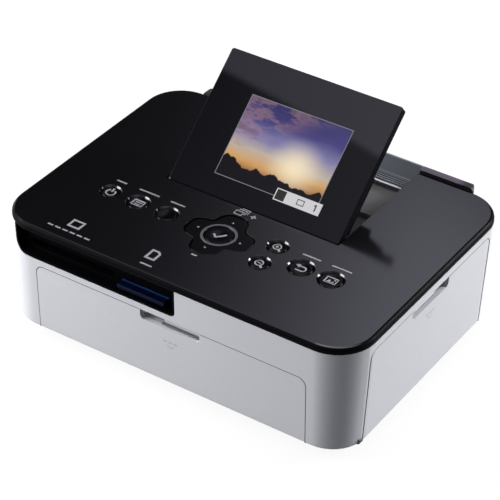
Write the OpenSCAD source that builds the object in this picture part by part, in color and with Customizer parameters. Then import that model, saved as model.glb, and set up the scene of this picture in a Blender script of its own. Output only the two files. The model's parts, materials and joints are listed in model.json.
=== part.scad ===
// Compact dye-sublimation photo printer, millimetres.
// +Z is up, the front (paper door, card slots) faces -Y, the ink door faces +X.
// The origin is on the table under the middle of the body.

/* [Body] */
// Width of the body and top panel
body_w = 178; // [174:1:190]
// Whole depth, from the paper door to the rear cover
total_d = 136; // [134:1:142]
// Depth of the rear cover behind the top panel
cover_d = 5.5; // [5:0.25:6]
// Height of the top panel's face above the table
panel_top = 59.5; // [59:0.5:62]
// Height of the top panel's black rim
rim_h = 3; // [2.6:0.2:4]
// Plan radius of the body's corners
corner_r = 18; // [16:0.5:19]
// Radius along the panel's top edge
edge_r = 2; // [1:0.25:2.5]
// How far the walls lean in from rim to base
draft = 2; // [0:0.25:2.5]
// Wall of the lower case and top panel
wall = 2.2; // [1.8:0.1:2.5]
// Height of the lower case's bottom edge
body_bottom = 5.3; // [4.8:0.1:5.8]
// How far the plinth under the case is set in
plinth_inset = 8; // [6:0.5:9]
// Height of the rubber feet
foot_h = 1.5; // [1.2:0.1:2]
// How far the rear cover stands above the panel
hump_rise = 1; // [0.5:0.25:2]
// Half the width of the rear cover
hump_half = 71; // [68:0.5:73]

/* [Display] */
// Width of the tilting display
lcd_w = 87; // [84:1:87]
// Length of the display from hinge axis to top edge
lcd_len = 65; // [62:0.5:65]
// Thickness of the display's rim
lcd_t = 4; // [3.6:0.1:4.2]
// Tilt of the display above the panel
lcd_tilt = 40.7; // [30:0.1:45]
// Width of the lit picture area
screen_w = 51; // [48:0.5:54]
// Height of the lit picture area
screen_h = 38; // [36:0.5:40]
// Picture area's lower edge above the hinge axis
screen_y = 8.4; // [7:0.2:9]
// Radius of the hinge pins
lcd_pin_r = 1; // [0.8:0.05:1.1]

/* [Doors] */
// Half the width of the paper door
paper_door_half = 68; // [60:0.5:75]
// Height of the paper door's top edge
paper_door_top = 39.4; // [38:0.2:40]
// Length of the ink door
ink_door_l = 98; // [95:0.5:98.5]
// Height of the ink door's top edge
ink_door_top = 52.4; // [51:0.2:53]
// Thickness of both doors
door_t = 2.5; // [2.2:0.1:2.8]
// Gap round the doors
door_gap = 0.35; // [0.25:0.05:0.5]
// Height of both door hinges
hinge_z = 9.2; // [9:0.1:9.6]
// Radius of the door hinge pins
door_pin_r = 1.2; // [1:0.05:1.3]
// Length of the finger notches
notch_l = 30; // [26:1:32]
// Depth of the finger notches
notch_h = 4.6; // [4.4:0.1:5]

/* [Controls] */
// Distance from the display's bay to the button row
row_back = 22; // [21.5:0.25:23]
// Travel of a push button
travel = 0.6; // [0.4:0.05:0.6]
// Reach of the navigation pad's lobes
pad_reach = 15.5; // [14:0.25:16.5]
// Depth of the waists between the lobes
pad_waist = 4.4; // [3:0.2:5]
// Radius of the OK button
ok_r = 6.2; // [5.6:0.1:6.4]

/* [Card slots] */
// Left end of the card recess
recess_left = -79; // [-80:0.5:-78]
// Right end of the card recess
recess_right = 3; // [2:0.5:5]
// Height of the card recess's floor
recess_floor = 43.9; // [43.6:0.1:44.2]
// Depth of the card recess
recess_depth = 6; // [5:0.25:6.5]
// Place of the memory card across the front
card_x = -14.3; // [-16:0.1:-13]

/* [Mechanism] */
// Gear module
gear_m = 0.8; // [0.8:0.8:0.8]
// Thickness of a gear
gear_t = 3; // [2.5:0.1:3]
// Height of the paper path
paper_z = 21; // [20.8:0.1:21.2]
// Radius of the platen roller
platen_r = 5; // [4.5:0.1:5.2]
// Radius of the grip roller
grip_r = 4.5; // [4:0.1:4.6]
// Radius of the pinch roller
pinch_r = 3; // [2.6:0.1:3.1]
// Radius of the pickup roller
pickup_r = 7; // [6.5:0.1:7.2]
// Inside face of the chassis side plates
plate_x = 60; // [60:0.1:60.3]
// Thickness of the side plates
plate_t = 1.2; // [1:0.1:1.3]
// Outer radius of the ink cassette's two tubes
tube_r = 9; // [8.6:0.1:9.2]

/* [Hidden] */

$fn = 64;
eps = 0.01;
slack = 0.05;         // radial running clearance of a shaft in its bore
seat = 0.1;           // gap between fixed pieces that sit on each other
front_y = -total_d / 2;
rear_y = total_d / 2;
panel_rear = rear_y - cover_d;
rim_z = panel_top - rim_h;
plate_under = panel_top - wall;
half_w = body_w / 2;
corner_x = half_w - corner_r;
corner_front = front_y + corner_r;
corner_rear = panel_rear - corner_r;
floor_top = foot_h + wall;
shelf_top = body_bottom + wall;
hump_top = panel_top + hump_rise;
hump_r = 2.5;
hump_corner = 6;

// Display, in its own frame: origin on the hinge axis, +Y along the display, face up
nose_r = lcd_t / 2;
lcd_axis_z = panel_top - nose_r;
lcd_axis_y = panel_rear - 0.5 - lcd_len;
lcd_window_t = 0.9;
lcd_side = 0.75;
block_front = 7;
block_step = 34;
block_rear = 54;
block_deep = 9;
block_mid = 6.2;
block_thin = 3.6;
block_side = 2.5;
well_clear = 0.8;
bay_half = lcd_w / 2 + lcd_side;
well_half = lcd_w / 2 - block_side + well_clear;
bay_front = lcd_axis_y - nose_r - 0.5;
bay_rear = rear_y - 15;
bay_floor = panel_top - lcd_t - 0.3;
apron_gap = 1.5;
apron_top = 54;
apron_t = 2;

// Door hinges: axes just inside the leaning walls
function lean(z) = draft * (rim_z - z) / (rim_z - body_bottom);
hinge_in = 3;
paper_hinge_y = front_y + lean(hinge_z) + hinge_in;
ink_hinge_x = half_w - lean(hinge_z) - hinge_in;
door_bottom = hinge_z - 2.6;
ink_door_front = front_y + corner_r - 1.5;
ink_door_rear = ink_door_front + ink_door_l;
knuckle_r = 2.3;
knuckle_l = 5;
swing_r = 4.6;
lug_t = 3.2;
pin_reach = 2.9;
door_corner = 4;
ledge = 4.5;

// Controls
row_y = bay_front - row_back;
pad_x = -1;
pad_z = panel_top - 4.2;
button_sink = 0.3;
flange_t = 0.8;
button_top = panel_top - button_sink;
flange_top = plate_under - 0.3;
board_t = 1.6;
board_top = panel_top - 6.5;
switch_h = 0.6;
switch_top = board_top + switch_h;
stem_bottom = switch_top + travel + slack;
// name, x, y, radius of the dish, for each round button
BUTTONS = [["power", -57.6, row_y, 5.0], ["menu", -43, row_y, 5.6], ["edit", -28, row_y, 5.6],
  ["zoom_in", 23.9, row_y + 6.9, 5.2], ["zoom_out", 23.9, row_y - 6.9, 5.2],
  ["back", 39.8, row_y, 6.2], ["print", 54.4, row_y, 6.2]];
dish_w = 0.9;
hole_gap = 0.3;
pad_gap = 0.4;
pad_flat = 1.46;        // how far the lobes are filled out beside their middles
board_rear = bay_front - 3;

// Cards
card_w = 24;
card_l = 32;
card_t = 2.1;
card_z = recess_floor + 0.6;
card_front = front_y + 2;
bezel_t = 1.2;
recess_back = front_y + recess_depth;
board_gap = 12.8;        // from the back of the card recess to the key board
board_front = recess_back + bezel_t + board_gap;
cf_left = recess_left + 5.5;
cf_d = 26.4;
main_board_d = 38;
cf_w = 43;
main_board_top = recess_floor - 0.9;

// Chassis base plate
base_t = 1.2;
base_rear = rear_y - 17.5;
base_top = floor_top + seat + base_t;

// Mechanism: [y, z] of each axis
grip_y = rear_y - 24;
spool_z = paper_z + tube_r + 1;
SUPPLY = [grip_y - 16, spool_z];
PLATEN = [SUPPLY[0] - 17, paper_z - platen_r];
TAKEUP = [PLATEN[0] - 17, spool_z];
GRIP = [grip_y, paper_z - grip_r];
PINCH = [grip_y, paper_z + pinch_r + 0.3];
MOTOR = [grip_y + 7.5, paper_z + 15];
PIVOT = [grip_y - 3.5, spool_z + tube_r + 2];
z_pinion = 12;
z_large = 36;
z_small = 14;
z_grip = 19;
z_idler = 24;
z_takeup = 21;
z_link = 12;
z_pickup = 16;
function centres(a, b) = gear_m * (a + b) / 2;
// Point at distance ra from A and rb from B, on the side that turn (1 or -1) picks
function meet(A, B, ra, rb, turn) = let (d = norm(B - A), u = (B - A) / d,
  a = (ra * ra - rb * rb + d * d) / (2 * d), h = sqrt(max(0, ra * ra - a * a)))
  A + a * u + turn * h * [-u[1], u[0]];
IDLER = meet(MOTOR, GRIP, centres(z_pinion, z_large), centres(z_small, z_grip), -1);
SECOND = meet(IDLER, TAKEUP, centres(z_large, z_idler), centres(z_idler, z_takeup), 1);
PICKUP = TAKEUP + centres(z_takeup, z_link) * [-1, 0]
  + centres(z_link, z_pickup) * [-cos(10), -sin(10)];
LINK = TAKEUP + centres(z_takeup, z_link) * [-1, 0];
near_x = -(plate_x + plate_t + 0.8);      // outer gear planes, measured from the left plate
far_x = near_x - gear_t - 1;
stud_r = 1.5;
shaft_r = 2;
spool_r = 4;
roller_half = 54;
cassette_half = 57.5;
// Angle from axis A to axis B in the Y-Z plane
function toward(A, B) = atan2(B[1] - A[1], B[0] - A[0]);
// Turn of a gear of z2 teeth at B that meshes with one of z1 teeth, turned by t1, at A
function phase(A, B, z1, t1, z2) = let (phi = toward(A, B))
  phi + 180 - 360 / z2 * (0.5 - (phi - t1) * z1 / 360);
t_large = 0;
t_small = 0;
t_pinion = phase(IDLER, MOTOR, z_large, t_large, z_pinion);
t_grip = phase(IDLER, GRIP, z_small, t_small, z_grip);
t_idler = phase(IDLER, SECOND, z_large, t_large, z_idler);
t_takeup = phase(SECOND, TAKEUP, z_idler, t_idler, z_takeup);
t_link = phase(TAKEUP, LINK, z_takeup, t_takeup, z_link);
t_pickup = phase(LINK, PICKUP, z_link, t_link, z_pickup);

head_gap = 1.3;
head_half = roller_half - 1;
sink_half = head_half - 3;
bracket_half = sink_half - 4;
ear_x = 36;
sink_h = 9;
head_y0 = PLATEN[0] - 5;
head_y1 = PLATEN[0] + 5;
motor_r = 8.5;
motor_l = 15.5;
foot_r = 5;
FEET = [for (y = [front_y + 19, rear_y - 25], x = [-1, 1]) [x * (half_w - 25), y]];
// Screw posts, clear of the card sockets on the left and of the ink door on the right
POSTS = [for (y = [front_y + 24, rear_y - 24], x = [-half_w + 9, half_w - 15]) [x, y]];
post_split = 30;
fan_w = 21;
fan_t = 8;
io_in = 10.2;           // from the inside of the rear cover's end to the middle of the sockets
io_x = hump_half - wall - io_in;
io_y = rear_y - 16.5;
dc_z = 14;
usb_z = 30;
fan_x = io_x - 17.6;
fan_z = 38.5;
fan_y0 = io_y;
fan_y1 = fan_y0 + fan_t;
exit_half = min(52, io_x - 6);
exit_z0 = paper_z - 2.5;
exit_z1 = paper_z + 3.5;

// ---------- shared shapes ----------

// Rectangle with true round corners
module round_rect(x0, x1, y0, y1, r) {
  translate([x0 + r, y0]) square([x1 - x0 - 2 * r, y1 - y0]);
  translate([x0, y0 + r]) square([x1 - x0, y1 - y0 - 2 * r]);
  for (x = [x0 + r, x1 - r], y = [y0 + r, y1 - r]) translate([x, y]) circle(r);
}

// Box from one corner to the other
module span(a, b) { translate(a) cube(b - a); }

// Cylinder along X between x0 and x1 at [y, z]
module rod_x(p, r, x0, x1) {
  translate([x0, p[0], p[1]]) rotate([0, 90, 0]) cylinder(r = r, h = x1 - x0);
}

// Cylinder along Y between y0 and y1 at [x, z]
module rod_y(p, r, y0, y1) {
  translate([p[0], y0, p[1]]) rotate([-90, 0, 0]) cylinder(r = r, h = y1 - y0);
}

// The body's leaning outline, set in by inset, between two heights
module body_form(inset, z0, z1) {
  hull() for (x = [-corner_x, corner_x], y = [corner_front, corner_rear])
    translate([x, y, z0]) cylinder(r1 = corner_r - inset - lean(z0),
      r2 = corner_r - inset - lean(z1), h = z1 - z0, $fn = 36);
}

// Door outline in its own plane: square at the foot, round at the top corners
module door_outline(a, b, top, grow) {
  translate([a - grow, door_bottom - grow]) square([b - a + 2 * grow, 12]);
  round_rect(a - grow, b + grow, door_bottom + grow, top + grow, door_corner);
}

// Notch cut from a door's top edge, middle at c
module notch_outline(c, top) {
  round_rect(c - notch_l / 2, c + notch_l / 2, top - notch_h, top + 8, 2.2);
}

// Prism of a shape drawn in X-Z that cuts the front wall
module through_front(y0, y1) {
  translate([0, y1, 0]) rotate([90, 0, 0]) linear_extrude(y1 - y0) children();
}

// Prism of a shape drawn in Y-Z that cuts the right wall
module through_side(x0, x1) {
  translate([x0, 0, 0]) rotate([90, 0, 90]) linear_extrude(x1 - x0) children();
}

module paper_door_prism(grow) {
  through_front(front_y - 1, front_y + 12) door_outline(-paper_door_half, paper_door_half,
    paper_door_top, grow);
}

module ink_door_prism(grow) {
  through_side(half_w - 12, half_w + 1) door_outline(ink_door_front, ink_door_rear,
    ink_door_top, grow);
}

notch_x = 1.5;
notch_y = (ink_door_front + ink_door_rear) / 2 - 1.8;

// Involute gear outline
module gear_outline(z, turn) {
  rp = gear_m * z / 2;
  rb = rp * cos(20);
  ra = rp + 0.9 * gear_m;
  rr = rp - 1.15 * gear_m;
  function inv(r) = let (a = acos(min(1, rb / r))) tan(a) * 180 / PI - a;
  function half(r) = 360 / z * 0.232 + inv(rp) - inv(max(r, rb));
  polygon([for (i = [0 : z - 1], s = [0 : 5]) let (r = [rr, rp, ra, ra, rp, rr][s],
    side = s < 3 ? -1 : 1, a = turn + 360 / z * i + side * half(r)) r * [cos(a), sin(a)]]);
}

// Gear of z teeth at axis p, its outer face at x, with its bore
module gear(p, z, turn, x, bore) {
  translate([x, p[0], p[1]]) rotate([90, 0, 90]) linear_extrude(gear_t) difference() {
    gear_outline(z, turn);
    circle(bore);
  }
}

// ---------- casing ----------

module plinth(inset, z0, z1) {
  translate([0, 0, z0]) linear_extrude(z1 - z0)
    round_rect(-half_w + inset, half_w - inset, front_y + inset, panel_rear - inset, corner_r - 8);
}

module lower_case() {
  color("whitesmoke") {
    difference() {
      union() {
        difference() {
          body_form(0, body_bottom, rim_z - seat);
          body_form(wall, shelf_top, rim_z + 1);
        }
        // rebates that the doors close on
        intersection() {
          union() {
            paper_door_prism(ledge - 1);
            ink_door_prism(ledge - 1);
          }
          difference() {
            body_form(wall - eps, body_bottom, rim_z - 1.5);
            body_form(door_t + door_gap + wall, body_bottom - 1, rim_z + 1);
          }
        }
        plinth(plinth_inset, foot_h, body_bottom + eps);
        hinge_lugs();
      }
      difference() {
        union() {
          paper_door_prism(door_gap);
          ink_door_prism(door_gap);
        }
        body_form(door_t + door_gap, -1, rim_z + 1);
      }
      plinth(plinth_inset + wall, floor_top, shelf_top + 1);
      // paper bay mouth and ink bay mouth
      span([-paper_door_half + ledge + 5, front_y - 1, hinge_z + swing_r - 0.5],
        [paper_door_half - ledge - 5, front_y + 12, paper_door_top - notch_h - 1]);
      span([half_w - 12, ink_door_front + ledge, hinge_z + swing_r - 0.5],
        [half_w + 1, ink_door_rear - ledge, ink_door_top - notch_h - 1]);
      // finger pockets behind the notches
      span([notch_x - notch_l / 2 + 1, front_y - 1, paper_door_top - notch_h],
        [notch_x - notch_l / 2 + 10.5, front_y + 12, paper_door_top]);
      span([half_w - 12, notch_y + notch_l / 2 - 10.5, ink_door_top - notch_h],
        [half_w + 1, notch_y + notch_l / 2 - 1, ink_door_top]);
      // room for the doors' lower edges to swing
      rod_x([paper_hinge_y, hinge_z], swing_r, -paper_door_half - door_gap,
        paper_door_half + door_gap);
      rod_y([ink_hinge_x, hinge_z], swing_r, ink_door_front - door_gap,
        ink_door_rear + door_gap);
      span([-paper_door_half - door_gap, front_y - 1, hinge_z - swing_r],
        [paper_door_half + door_gap, paper_hinge_y, door_bottom]);
      span([ink_hinge_x, ink_door_front - door_gap, hinge_z - swing_r],
        [half_w + 1, ink_door_rear + door_gap, door_bottom]);
      card_recess_cut(bezel_t + seat);
      span([-hump_half - 0.15, panel_rear - 8, shelf_top], [hump_half + 0.15, rear_y, rim_z + 1]);
      hinge_bores();
      for (p = POSTS) translate([p[0], p[1], foot_h - 1])
        cylinder(r = 3.3, h = 12);
      for (p = FEET) translate([p[0], p[1], foot_h - 1]) cylinder(r = foot_r + 0.2, h = 1.5);
    }
    posts();
  }
}

// Screw posts with deep counterbores
module posts() {
  for (p = POSTS) translate([p[0], p[1], 0]) difference() {
    translate([0, 0, foot_h]) cylinder(r = 4.6, h = post_split - foot_h);
    translate([0, 0, foot_h - 1]) cylinder(r = 3.3, h = 21);
    cylinder(r = 1.4, h = post_split + 1);
  }
}

// Lugs beside each door end that hold the hinge pins
module hinge_lugs() {
  intersection() {
    body_form(0.4, body_bottom, 24);
    union() {
      for (s = [-1, 1]) {
        x0 = s * (paper_door_half + door_gap + lug_t / 2 + 0.1);
        translate([x0, paper_hinge_y, hinge_z]) cube([lug_t, 7, 7], center = true);
      }
      for (y = [ink_door_front - door_gap - lug_t / 2 - 0.1, ink_door_rear + door_gap + lug_t / 2 + 0.1])
        translate([ink_hinge_x, y, hinge_z]) cube([7, lug_t, 7], center = true);
    }
  }
}

module hinge_bores() {
  reach = pin_reach + seat;
  rod_x([paper_hinge_y, hinge_z], door_pin_r + slack, -paper_door_half - reach, paper_door_half + reach);
  rod_y([ink_hinge_x, hinge_z], door_pin_r + slack, ink_door_front - reach, ink_door_rear + reach);
}

// The card recess, grown by g on its walls, floor and back
module card_recess_cut(g) {
  translate([0, recess_back + g, 0]) rotate([90, 0, 0])
    linear_extrude(recess_depth + g + 1) {
      translate([recess_left + 5, recess_floor - g])
        square([recess_right - recess_left - 5 - 1.5, 20]);
      translate([recess_left - g, recess_floor + 5])
        square([recess_right - recess_left + 2 * g, 20]);
      translate([recess_left + 5, recess_floor + 5]) circle(5 + g);
      translate([recess_right - 1.5, recess_floor + 1.5]) circle(1.5 + g);
      translate([recess_right - 1.5, recess_floor + 1.5]) square([1.5 + g, 10]);
    }
}

module card_bezel() {
  color("#141416") difference() {
    intersection() {
      card_recess_cut(bezel_t);
      body_form(0.1, recess_floor - 3, rim_z - seat);
    }
    translate([0, 0, eps]) card_recess_cut(0);
    // card slots in the back wall
    span([card_x - card_w / 2 - 0.3, recess_back - 1, card_z - 0.3],
      [card_x + card_w / 2 + 0.3, recess_back + 5, card_z + card_t + 0.3]);
    span([cf_left, recess_back - 1, card_z + 0.5],
      [cf_left + cf_w, recess_back + 5, card_z + 4.2]);
  }
}

// Top panel with its rounded edge
module panel_form() {
  hull() for (x = [-corner_x, corner_x], y = [corner_front, corner_rear]) translate([x, y, 0]) {
    translate([0, 0, rim_z]) cylinder(r = corner_r, h = rim_h - edge_r, $fn = 48);
    for (a = [22.5 : 22.5 : 90]) translate([0, 0, panel_top - edge_r + edge_r * sin(a) - eps])
      cylinder(r = corner_r - edge_r + edge_r * cos(a), h = eps, $fn = 48);
  }
}

// Side view of the well for the display's back, grown by g
module well_outline(g) {
  y0 = lcd_axis_y + block_front - well_clear - g;
  y1 = lcd_axis_y + block_step + 1.6 + g;
  y2 = min(bay_rear, lcd_axis_y + block_rear + 1 + g);
  polygon([[y0, lcd_axis_z - block_deep - well_clear - g],
    [y1, lcd_axis_z - block_deep - well_clear - g], [y1, lcd_axis_z - block_mid - well_clear - g],
    [y2, lcd_axis_z - block_thin - well_clear - g], [y2, plate_under + eps],
    [y0, plate_under + eps]]);
}

module top_cover() {
  color("#101013") difference() {
    union() {
      difference() {
        panel_form();
        translate([0, 0, rim_z - 1]) linear_extrude(rim_h + 1 - wall) round_rect(-half_w + wall,
          half_w - wall, front_y + wall, panel_rear - wall, corner_r - wall);
      }
      span([-bay_half - wall, bay_front - wall, bay_floor - wall],
        [bay_half + wall, panel_rear - wall - seat, plate_under + eps]);
      through_side(-well_half - wall, well_half + wall) well_outline(wall);
      for (p = POSTS) translate([p[0], p[1], post_split + seat])
        cylinder(r = 4.2, h = plate_under - post_split);
      board_bosses();
    }
    // the bay that the display folds into, and its open rear
    span([-bay_half, bay_front, bay_floor], [bay_half, panel_rear + 1, panel_top + 1]);
    through_side(-well_half, well_half) well_outline(0);
    span([-bay_half, bay_rear, rim_z - 20], [bay_half, panel_rear + 1, panel_top + 1]);
    rod_x([lcd_axis_y, lcd_axis_z], lcd_pin_r + slack, -bay_half - wall - 1, bay_half + wall + 1);
    for (b = BUTTONS) translate([b[1], b[2], 0]) button_hole(b[3]);
    translate([pad_x, row_y, plate_under - 1]) linear_extrude(wall + 2) pad_outline(pad_gap);
    for (p = POSTS) translate([p[0], p[1], post_split - 1])
      cylinder(r = 1.25, h = 14);
    bosses_at(0.9, plate_under - 3.5);
  }
}

module button_hole(dish) {
  translate([0, 0, plate_under - 1]) cylinder(r = dish - dish_w + hole_gap, h = wall + 2);
  translate([0, 0, panel_top - dish_w + 0.1]) cylinder(r1 = dish - dish_w + hole_gap,
    r2 = dish, h = dish_w);
}

// Outline of the navigation pad: four broad lobes with flattened ends
module pad_outline(grow) {
  mid = pad_reach - pad_waist / 2;
  polygon([for (a = [0 : 4 : 356]) (mid + grow + pad_waist / 2 * cos(4 * a)
    + pad_flat * (1 - cos(8 * a)) / 2) * [cos(a), sin(a)]]);
}

module bosses_at(r, z) {
  for (x = [-half_w + 21, half_w - 25], y = [board_front + 3, board_rear - 3]) translate([x, y, z])
    cylinder(r = r, h = plate_under - z);
}

module board_bosses() { bosses_at(2.4, board_top + seat); }

module rear_cover() {
  y0 = panel_rear - wall;
  front = panel_rear + 0.3;
  // posts that the fan's frame is screwed to
  color("#5b5e66") fan_corners() rod_y([0, 0], 1.6, fan_y1 + seat, rear_y - wall + eps);
  color("#5b5e66") difference() {
    union() {
      translate([0, 0, body_bottom]) linear_extrude(hump_top - hump_r - body_bottom)
        hump_plan(0, y0);
      hump_cap(front);
      span([-bay_half + 0.35, bay_rear + apron_gap, apron_top - apron_t],
        [bay_half - 0.35, rear_y - 3, apron_top]);
      span([-bay_half + 0.35, slope_line(apron_top) - 0.3, apron_top - eps],
        [bay_half - 0.35, front + eps, hump_top]);
      for (i = [0 : 3]) span([-bay_half + 0.35, bay_rear + apron_gap + 0.5 + 1.5 * i, apron_top - eps],
        [bay_half - 0.35, bay_rear + apron_gap + 1.2 + 1.5 * i, apron_top + 0.45]);
    }
    // hollow inside, open to the front
    translate([0, 0, shelf_top]) linear_extrude(apron_top - apron_t - shelf_top) hump_plan(wall, y0 - 1);
    // shelf of the lower case, and room for the wings' rim in front
    span([-hump_half - 1, y0 - 1, body_bottom - 1], [hump_half + 1, panel_rear + seat, shelf_top + seat]);
    for (s = [-1, 1]) span([s > 0 ? bay_half - 0.35 : -hump_half - 1, y0 - 1, rim_z - seat],
      [s > 0 ? hump_half + 1 : -bay_half + 0.35, front, hump_top + 1]);
    above_slope(y0 - 1);
    span([-exit_half, y0 - 2, exit_z0], [exit_half, rear_y + 1, exit_z1]);
    for (x = [-fan_x, fan_x], i = [-3 : 3]) translate([x + 2.8 * i, rear_y, fan_z])
      cube([1.4, 8, 13], center = true);
    rod_y([io_x, dc_z], 4.6, rear_y - 4, rear_y + 1);
    span([io_x - 6.2, rear_y - 4, usb_z - 5.7], [io_x + 6.2, rear_y + 1, usb_z + 5.7]);
  }
}

// Children at each corner of the fan's frame
module fan_corners() {
  for (x = [-1, 1], z = [-1, 1]) translate([fan_x + x * 8.8, 0, fan_z + z * 8.8]) children();
}

// Y at height z on the face that rises from the ribs, behind the folded display, to the hump
function slope_line(z) = let (y0 = lcd_axis_y + lcd_len + 0.35, z0 = panel_top - lcd_t)
  y0 + (z - z0) * (rear_y - hump_r - y0) / (hump_top - z0);

// Space over the apron and that face
module above_slope(from) {
  translate([-bay_half, 0, 0]) rotate([90, 0, 90]) linear_extrude(2 * bay_half)
    polygon([[from, apron_top + 0.5], [slope_line(apron_top + 0.5), apron_top + 0.5],
      [slope_line(hump_top + 1), hump_top + 1], [from, hump_top + 1]]);
}

// Outline of the rear cover at depth t inside its faces, with round corners behind
module hump_plan(t, from) {
  x = hump_half - hump_corner;
  y = rear_y - hump_corner;
  intersection() {
    translate([-hump_half, from]) square([2 * hump_half, rear_y - from]);
    union() {
      translate([-hump_half + t, y - hump_corner]) square([2 * (hump_half - t), hump_corner]);
      translate([-x, y - hump_corner]) square([2 * x, 2 * hump_corner - t]);
      for (s = [-1, 1]) translate([s * x, y]) circle(hump_corner - t);
    }
  }
}

// Top of the rear cover, rounded along its rear edge and along its ends
module hump_cap(front) {
  r = hump_r;
  z = hump_top - r;
  difference() {
    translate([0, 0, z - 1]) linear_extrude(1 + r) hump_plan(0, front);
    difference() {
      span([-hump_half - 1, rear_y - r, z], [hump_half + 1, rear_y + 1, hump_top + 1]);
      rod_x([rear_y - r, z], r, -hump_half - 2, hump_half + 2);
    }
    for (s = [-1, 1]) difference() {
      x = s * (hump_half - r);
      span([min(x, s * (hump_half + 1)), front - 1, z],
        [max(x, s * (hump_half + 1)), rear_y + 1, hump_top + 1]);
      rod_y([x, z], r, front - 2, rear_y + 2);
    }
  }
}

// ---------- doors ----------

module paper_door() {
  color("gainsboro") difference() {
    union() {
      intersection() {
        difference() {
          body_form(0, body_bottom, paper_door_top + 3);
          body_form(door_t, body_bottom - 1, paper_door_top + 4);
        }
        paper_door_prism(0);
      }
      for (s = [-1, 1]) rod_x([paper_hinge_y, hinge_z], knuckle_r,
        s * (paper_door_half - knuckle_l / 2) - knuckle_l / 2,
        s * (paper_door_half - knuckle_l / 2) + knuckle_l / 2);
      for (x = [-40, 40]) rod_x([paper_hinge_y, hinge_z], knuckle_r, x - 6, x + 6);
    }
    through_front(front_y - 1, front_y + 12) notch_outline(notch_x, paper_door_top);
    rod_x([paper_hinge_y, hinge_z], door_pin_r + slack, -paper_door_half - 1, paper_door_half + 1);
  }
}

module ink_door() {
  color("gainsboro") difference() {
    union() {
      intersection() {
        difference() {
          body_form(0, body_bottom, ink_door_top + 1);
          body_form(door_t, body_bottom - 1, ink_door_top + 2);
        }
        ink_door_prism(0);
      }
      for (y = [ink_door_front + knuckle_l / 2, ink_door_rear - knuckle_l / 2])
        rod_y([ink_hinge_x, hinge_z], knuckle_r, y - knuckle_l / 2, y + knuckle_l / 2);
      rod_y([ink_hinge_x, hinge_z], knuckle_r, -8, 4);
    }
    through_side(half_w - 12, half_w + 1) notch_outline(notch_y, ink_door_top);
    rod_y([ink_hinge_x, hinge_z], door_pin_r + slack, ink_door_front - 1, ink_door_rear + 1);
  }
}

// Four pins, each in a lug of the case and a knuckle of a door
module door_hinge_pins() {
  reach = pin_reach;
  color("silver") {
    for (s = [-1, 1]) rod_x([paper_hinge_y, hinge_z], door_pin_r,
      s * paper_door_half - reach, s * paper_door_half + reach);
    for (y = [ink_door_front, ink_door_rear]) rod_y([ink_hinge_x, hinge_z], door_pin_r,
      y - reach, y + reach);
  }
}

module rubber_feet() {
  color("#222222") for (p = FEET) translate([p[0], p[1], 0]) {
    cylinder(r1 = foot_r - 0.6, r2 = foot_r, h = foot_h);
    translate([0, 0, foot_h - eps]) cylinder(r = foot_r, h = 0.4);
  }
}

module case_screws() {
  color("silver") for (p = POSTS) translate([p[0], p[1], 0])
    difference() {
      union() {
        translate([0, 0, foot_h + 18]) cylinder(r = 2.8, h = 2 - seat);
        translate([0, 0, foot_h + 19]) cylinder(r = 1.2, h = 21);
      }
      for (a = [0, 90]) translate([0, 0, foot_h + 18]) rotate(a) cube([3.2, 0.7, 1.6], center = true);
    }
}

// ---------- display ----------

module on_display() {
  translate([0, lcd_axis_y, lcd_axis_z]) rotate([lcd_tilt, 0, 0]) children();
}

module lcd_window() {
  color("#08080c") on_display() translate([0, 0, nose_r - lcd_window_t])
    linear_extrude(lcd_window_t) round_rect(-lcd_w / 2, lcd_w / 2, 0, lcd_len, 1.2);
}

module block_outline(g) {
  polygon([[block_front + g, -nose_r + 1], [block_front + g, -block_deep + g],
    [block_step - g, -block_deep + g], [block_step - g, -block_mid + g],
    [block_rear - g, -block_thin + g], [block_rear - g, -nose_r + 1]]);
}

module lcd_back_shell() {
  top = nose_r - lcd_window_t - 0.02;
  color("#131316") on_display() difference() {
    union() {
      rod_x([0, 0], nose_r, -lcd_w / 2, lcd_w / 2);
      translate([0, 0, -nose_r]) linear_extrude(nose_r + top)
        translate([0, 0]) { translate([-lcd_w / 2, 0]) square([lcd_w, 10]);
          round_rect(-lcd_w / 2, lcd_w / 2, 0, lcd_len, 1.2); }
      through_side(-lcd_w / 2 + block_side, lcd_w / 2 - block_side) block_outline(0);
    }
    // the window lies on this face behind the nose
    span([-lcd_w, 0, top], [lcd_w, lcd_len + 1, nose_r + 1]);
    span([-lcd_w / 2 + 3, 4, -nose_r + 0.8], [lcd_w / 2 - 3, lcd_len - 3, nose_r]);
    through_side(-lcd_w / 2 + block_side + 1.6, lcd_w / 2 - block_side - 1.6) block_outline(1.6);
    span([-lcd_w / 2 + block_side + 1.6, block_front + 1.6, -nose_r - 1],
      [lcd_w / 2 - block_side - 1.6, block_rear - 1.6, 0]);
    rod_x([0, 0], lcd_pin_r + slack, -lcd_w / 2 - 1, -lcd_w / 2 + 5);
    rod_x([0, 0], lcd_pin_r + slack, lcd_w / 2 - 5, lcd_w / 2 + 1);
  }
}

module lcd_module() {
  m = 4.5;
  color("slategray") on_display() {
    span([-screen_w / 2 - m, screen_y - m + 1.5, -nose_r + 0.85],
      [screen_w / 2 + m, screen_y + screen_h + m, nose_r - lcd_window_t - 0.1]);
    for (s = [-1, 1]) translate([s * (lcd_w / 2 - 9), 0, 0])
      span([-3.5, block_front + 2, -nose_r + 0.85], [3.5, block_rear - 2, nose_r - lcd_window_t - 0.1]);
  }
}

module lcd_hinge_pins() {
  color("silver") on_display() for (s = [-1, 1]) {
    a = s * (lcd_w / 2 - 4.8);
    b = s * (bay_half + wall - 0.1);
    rod_x([0, 0], lcd_pin_r, min(a, b), max(a, b));
  }
}

// ---------- controls ----------

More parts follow.
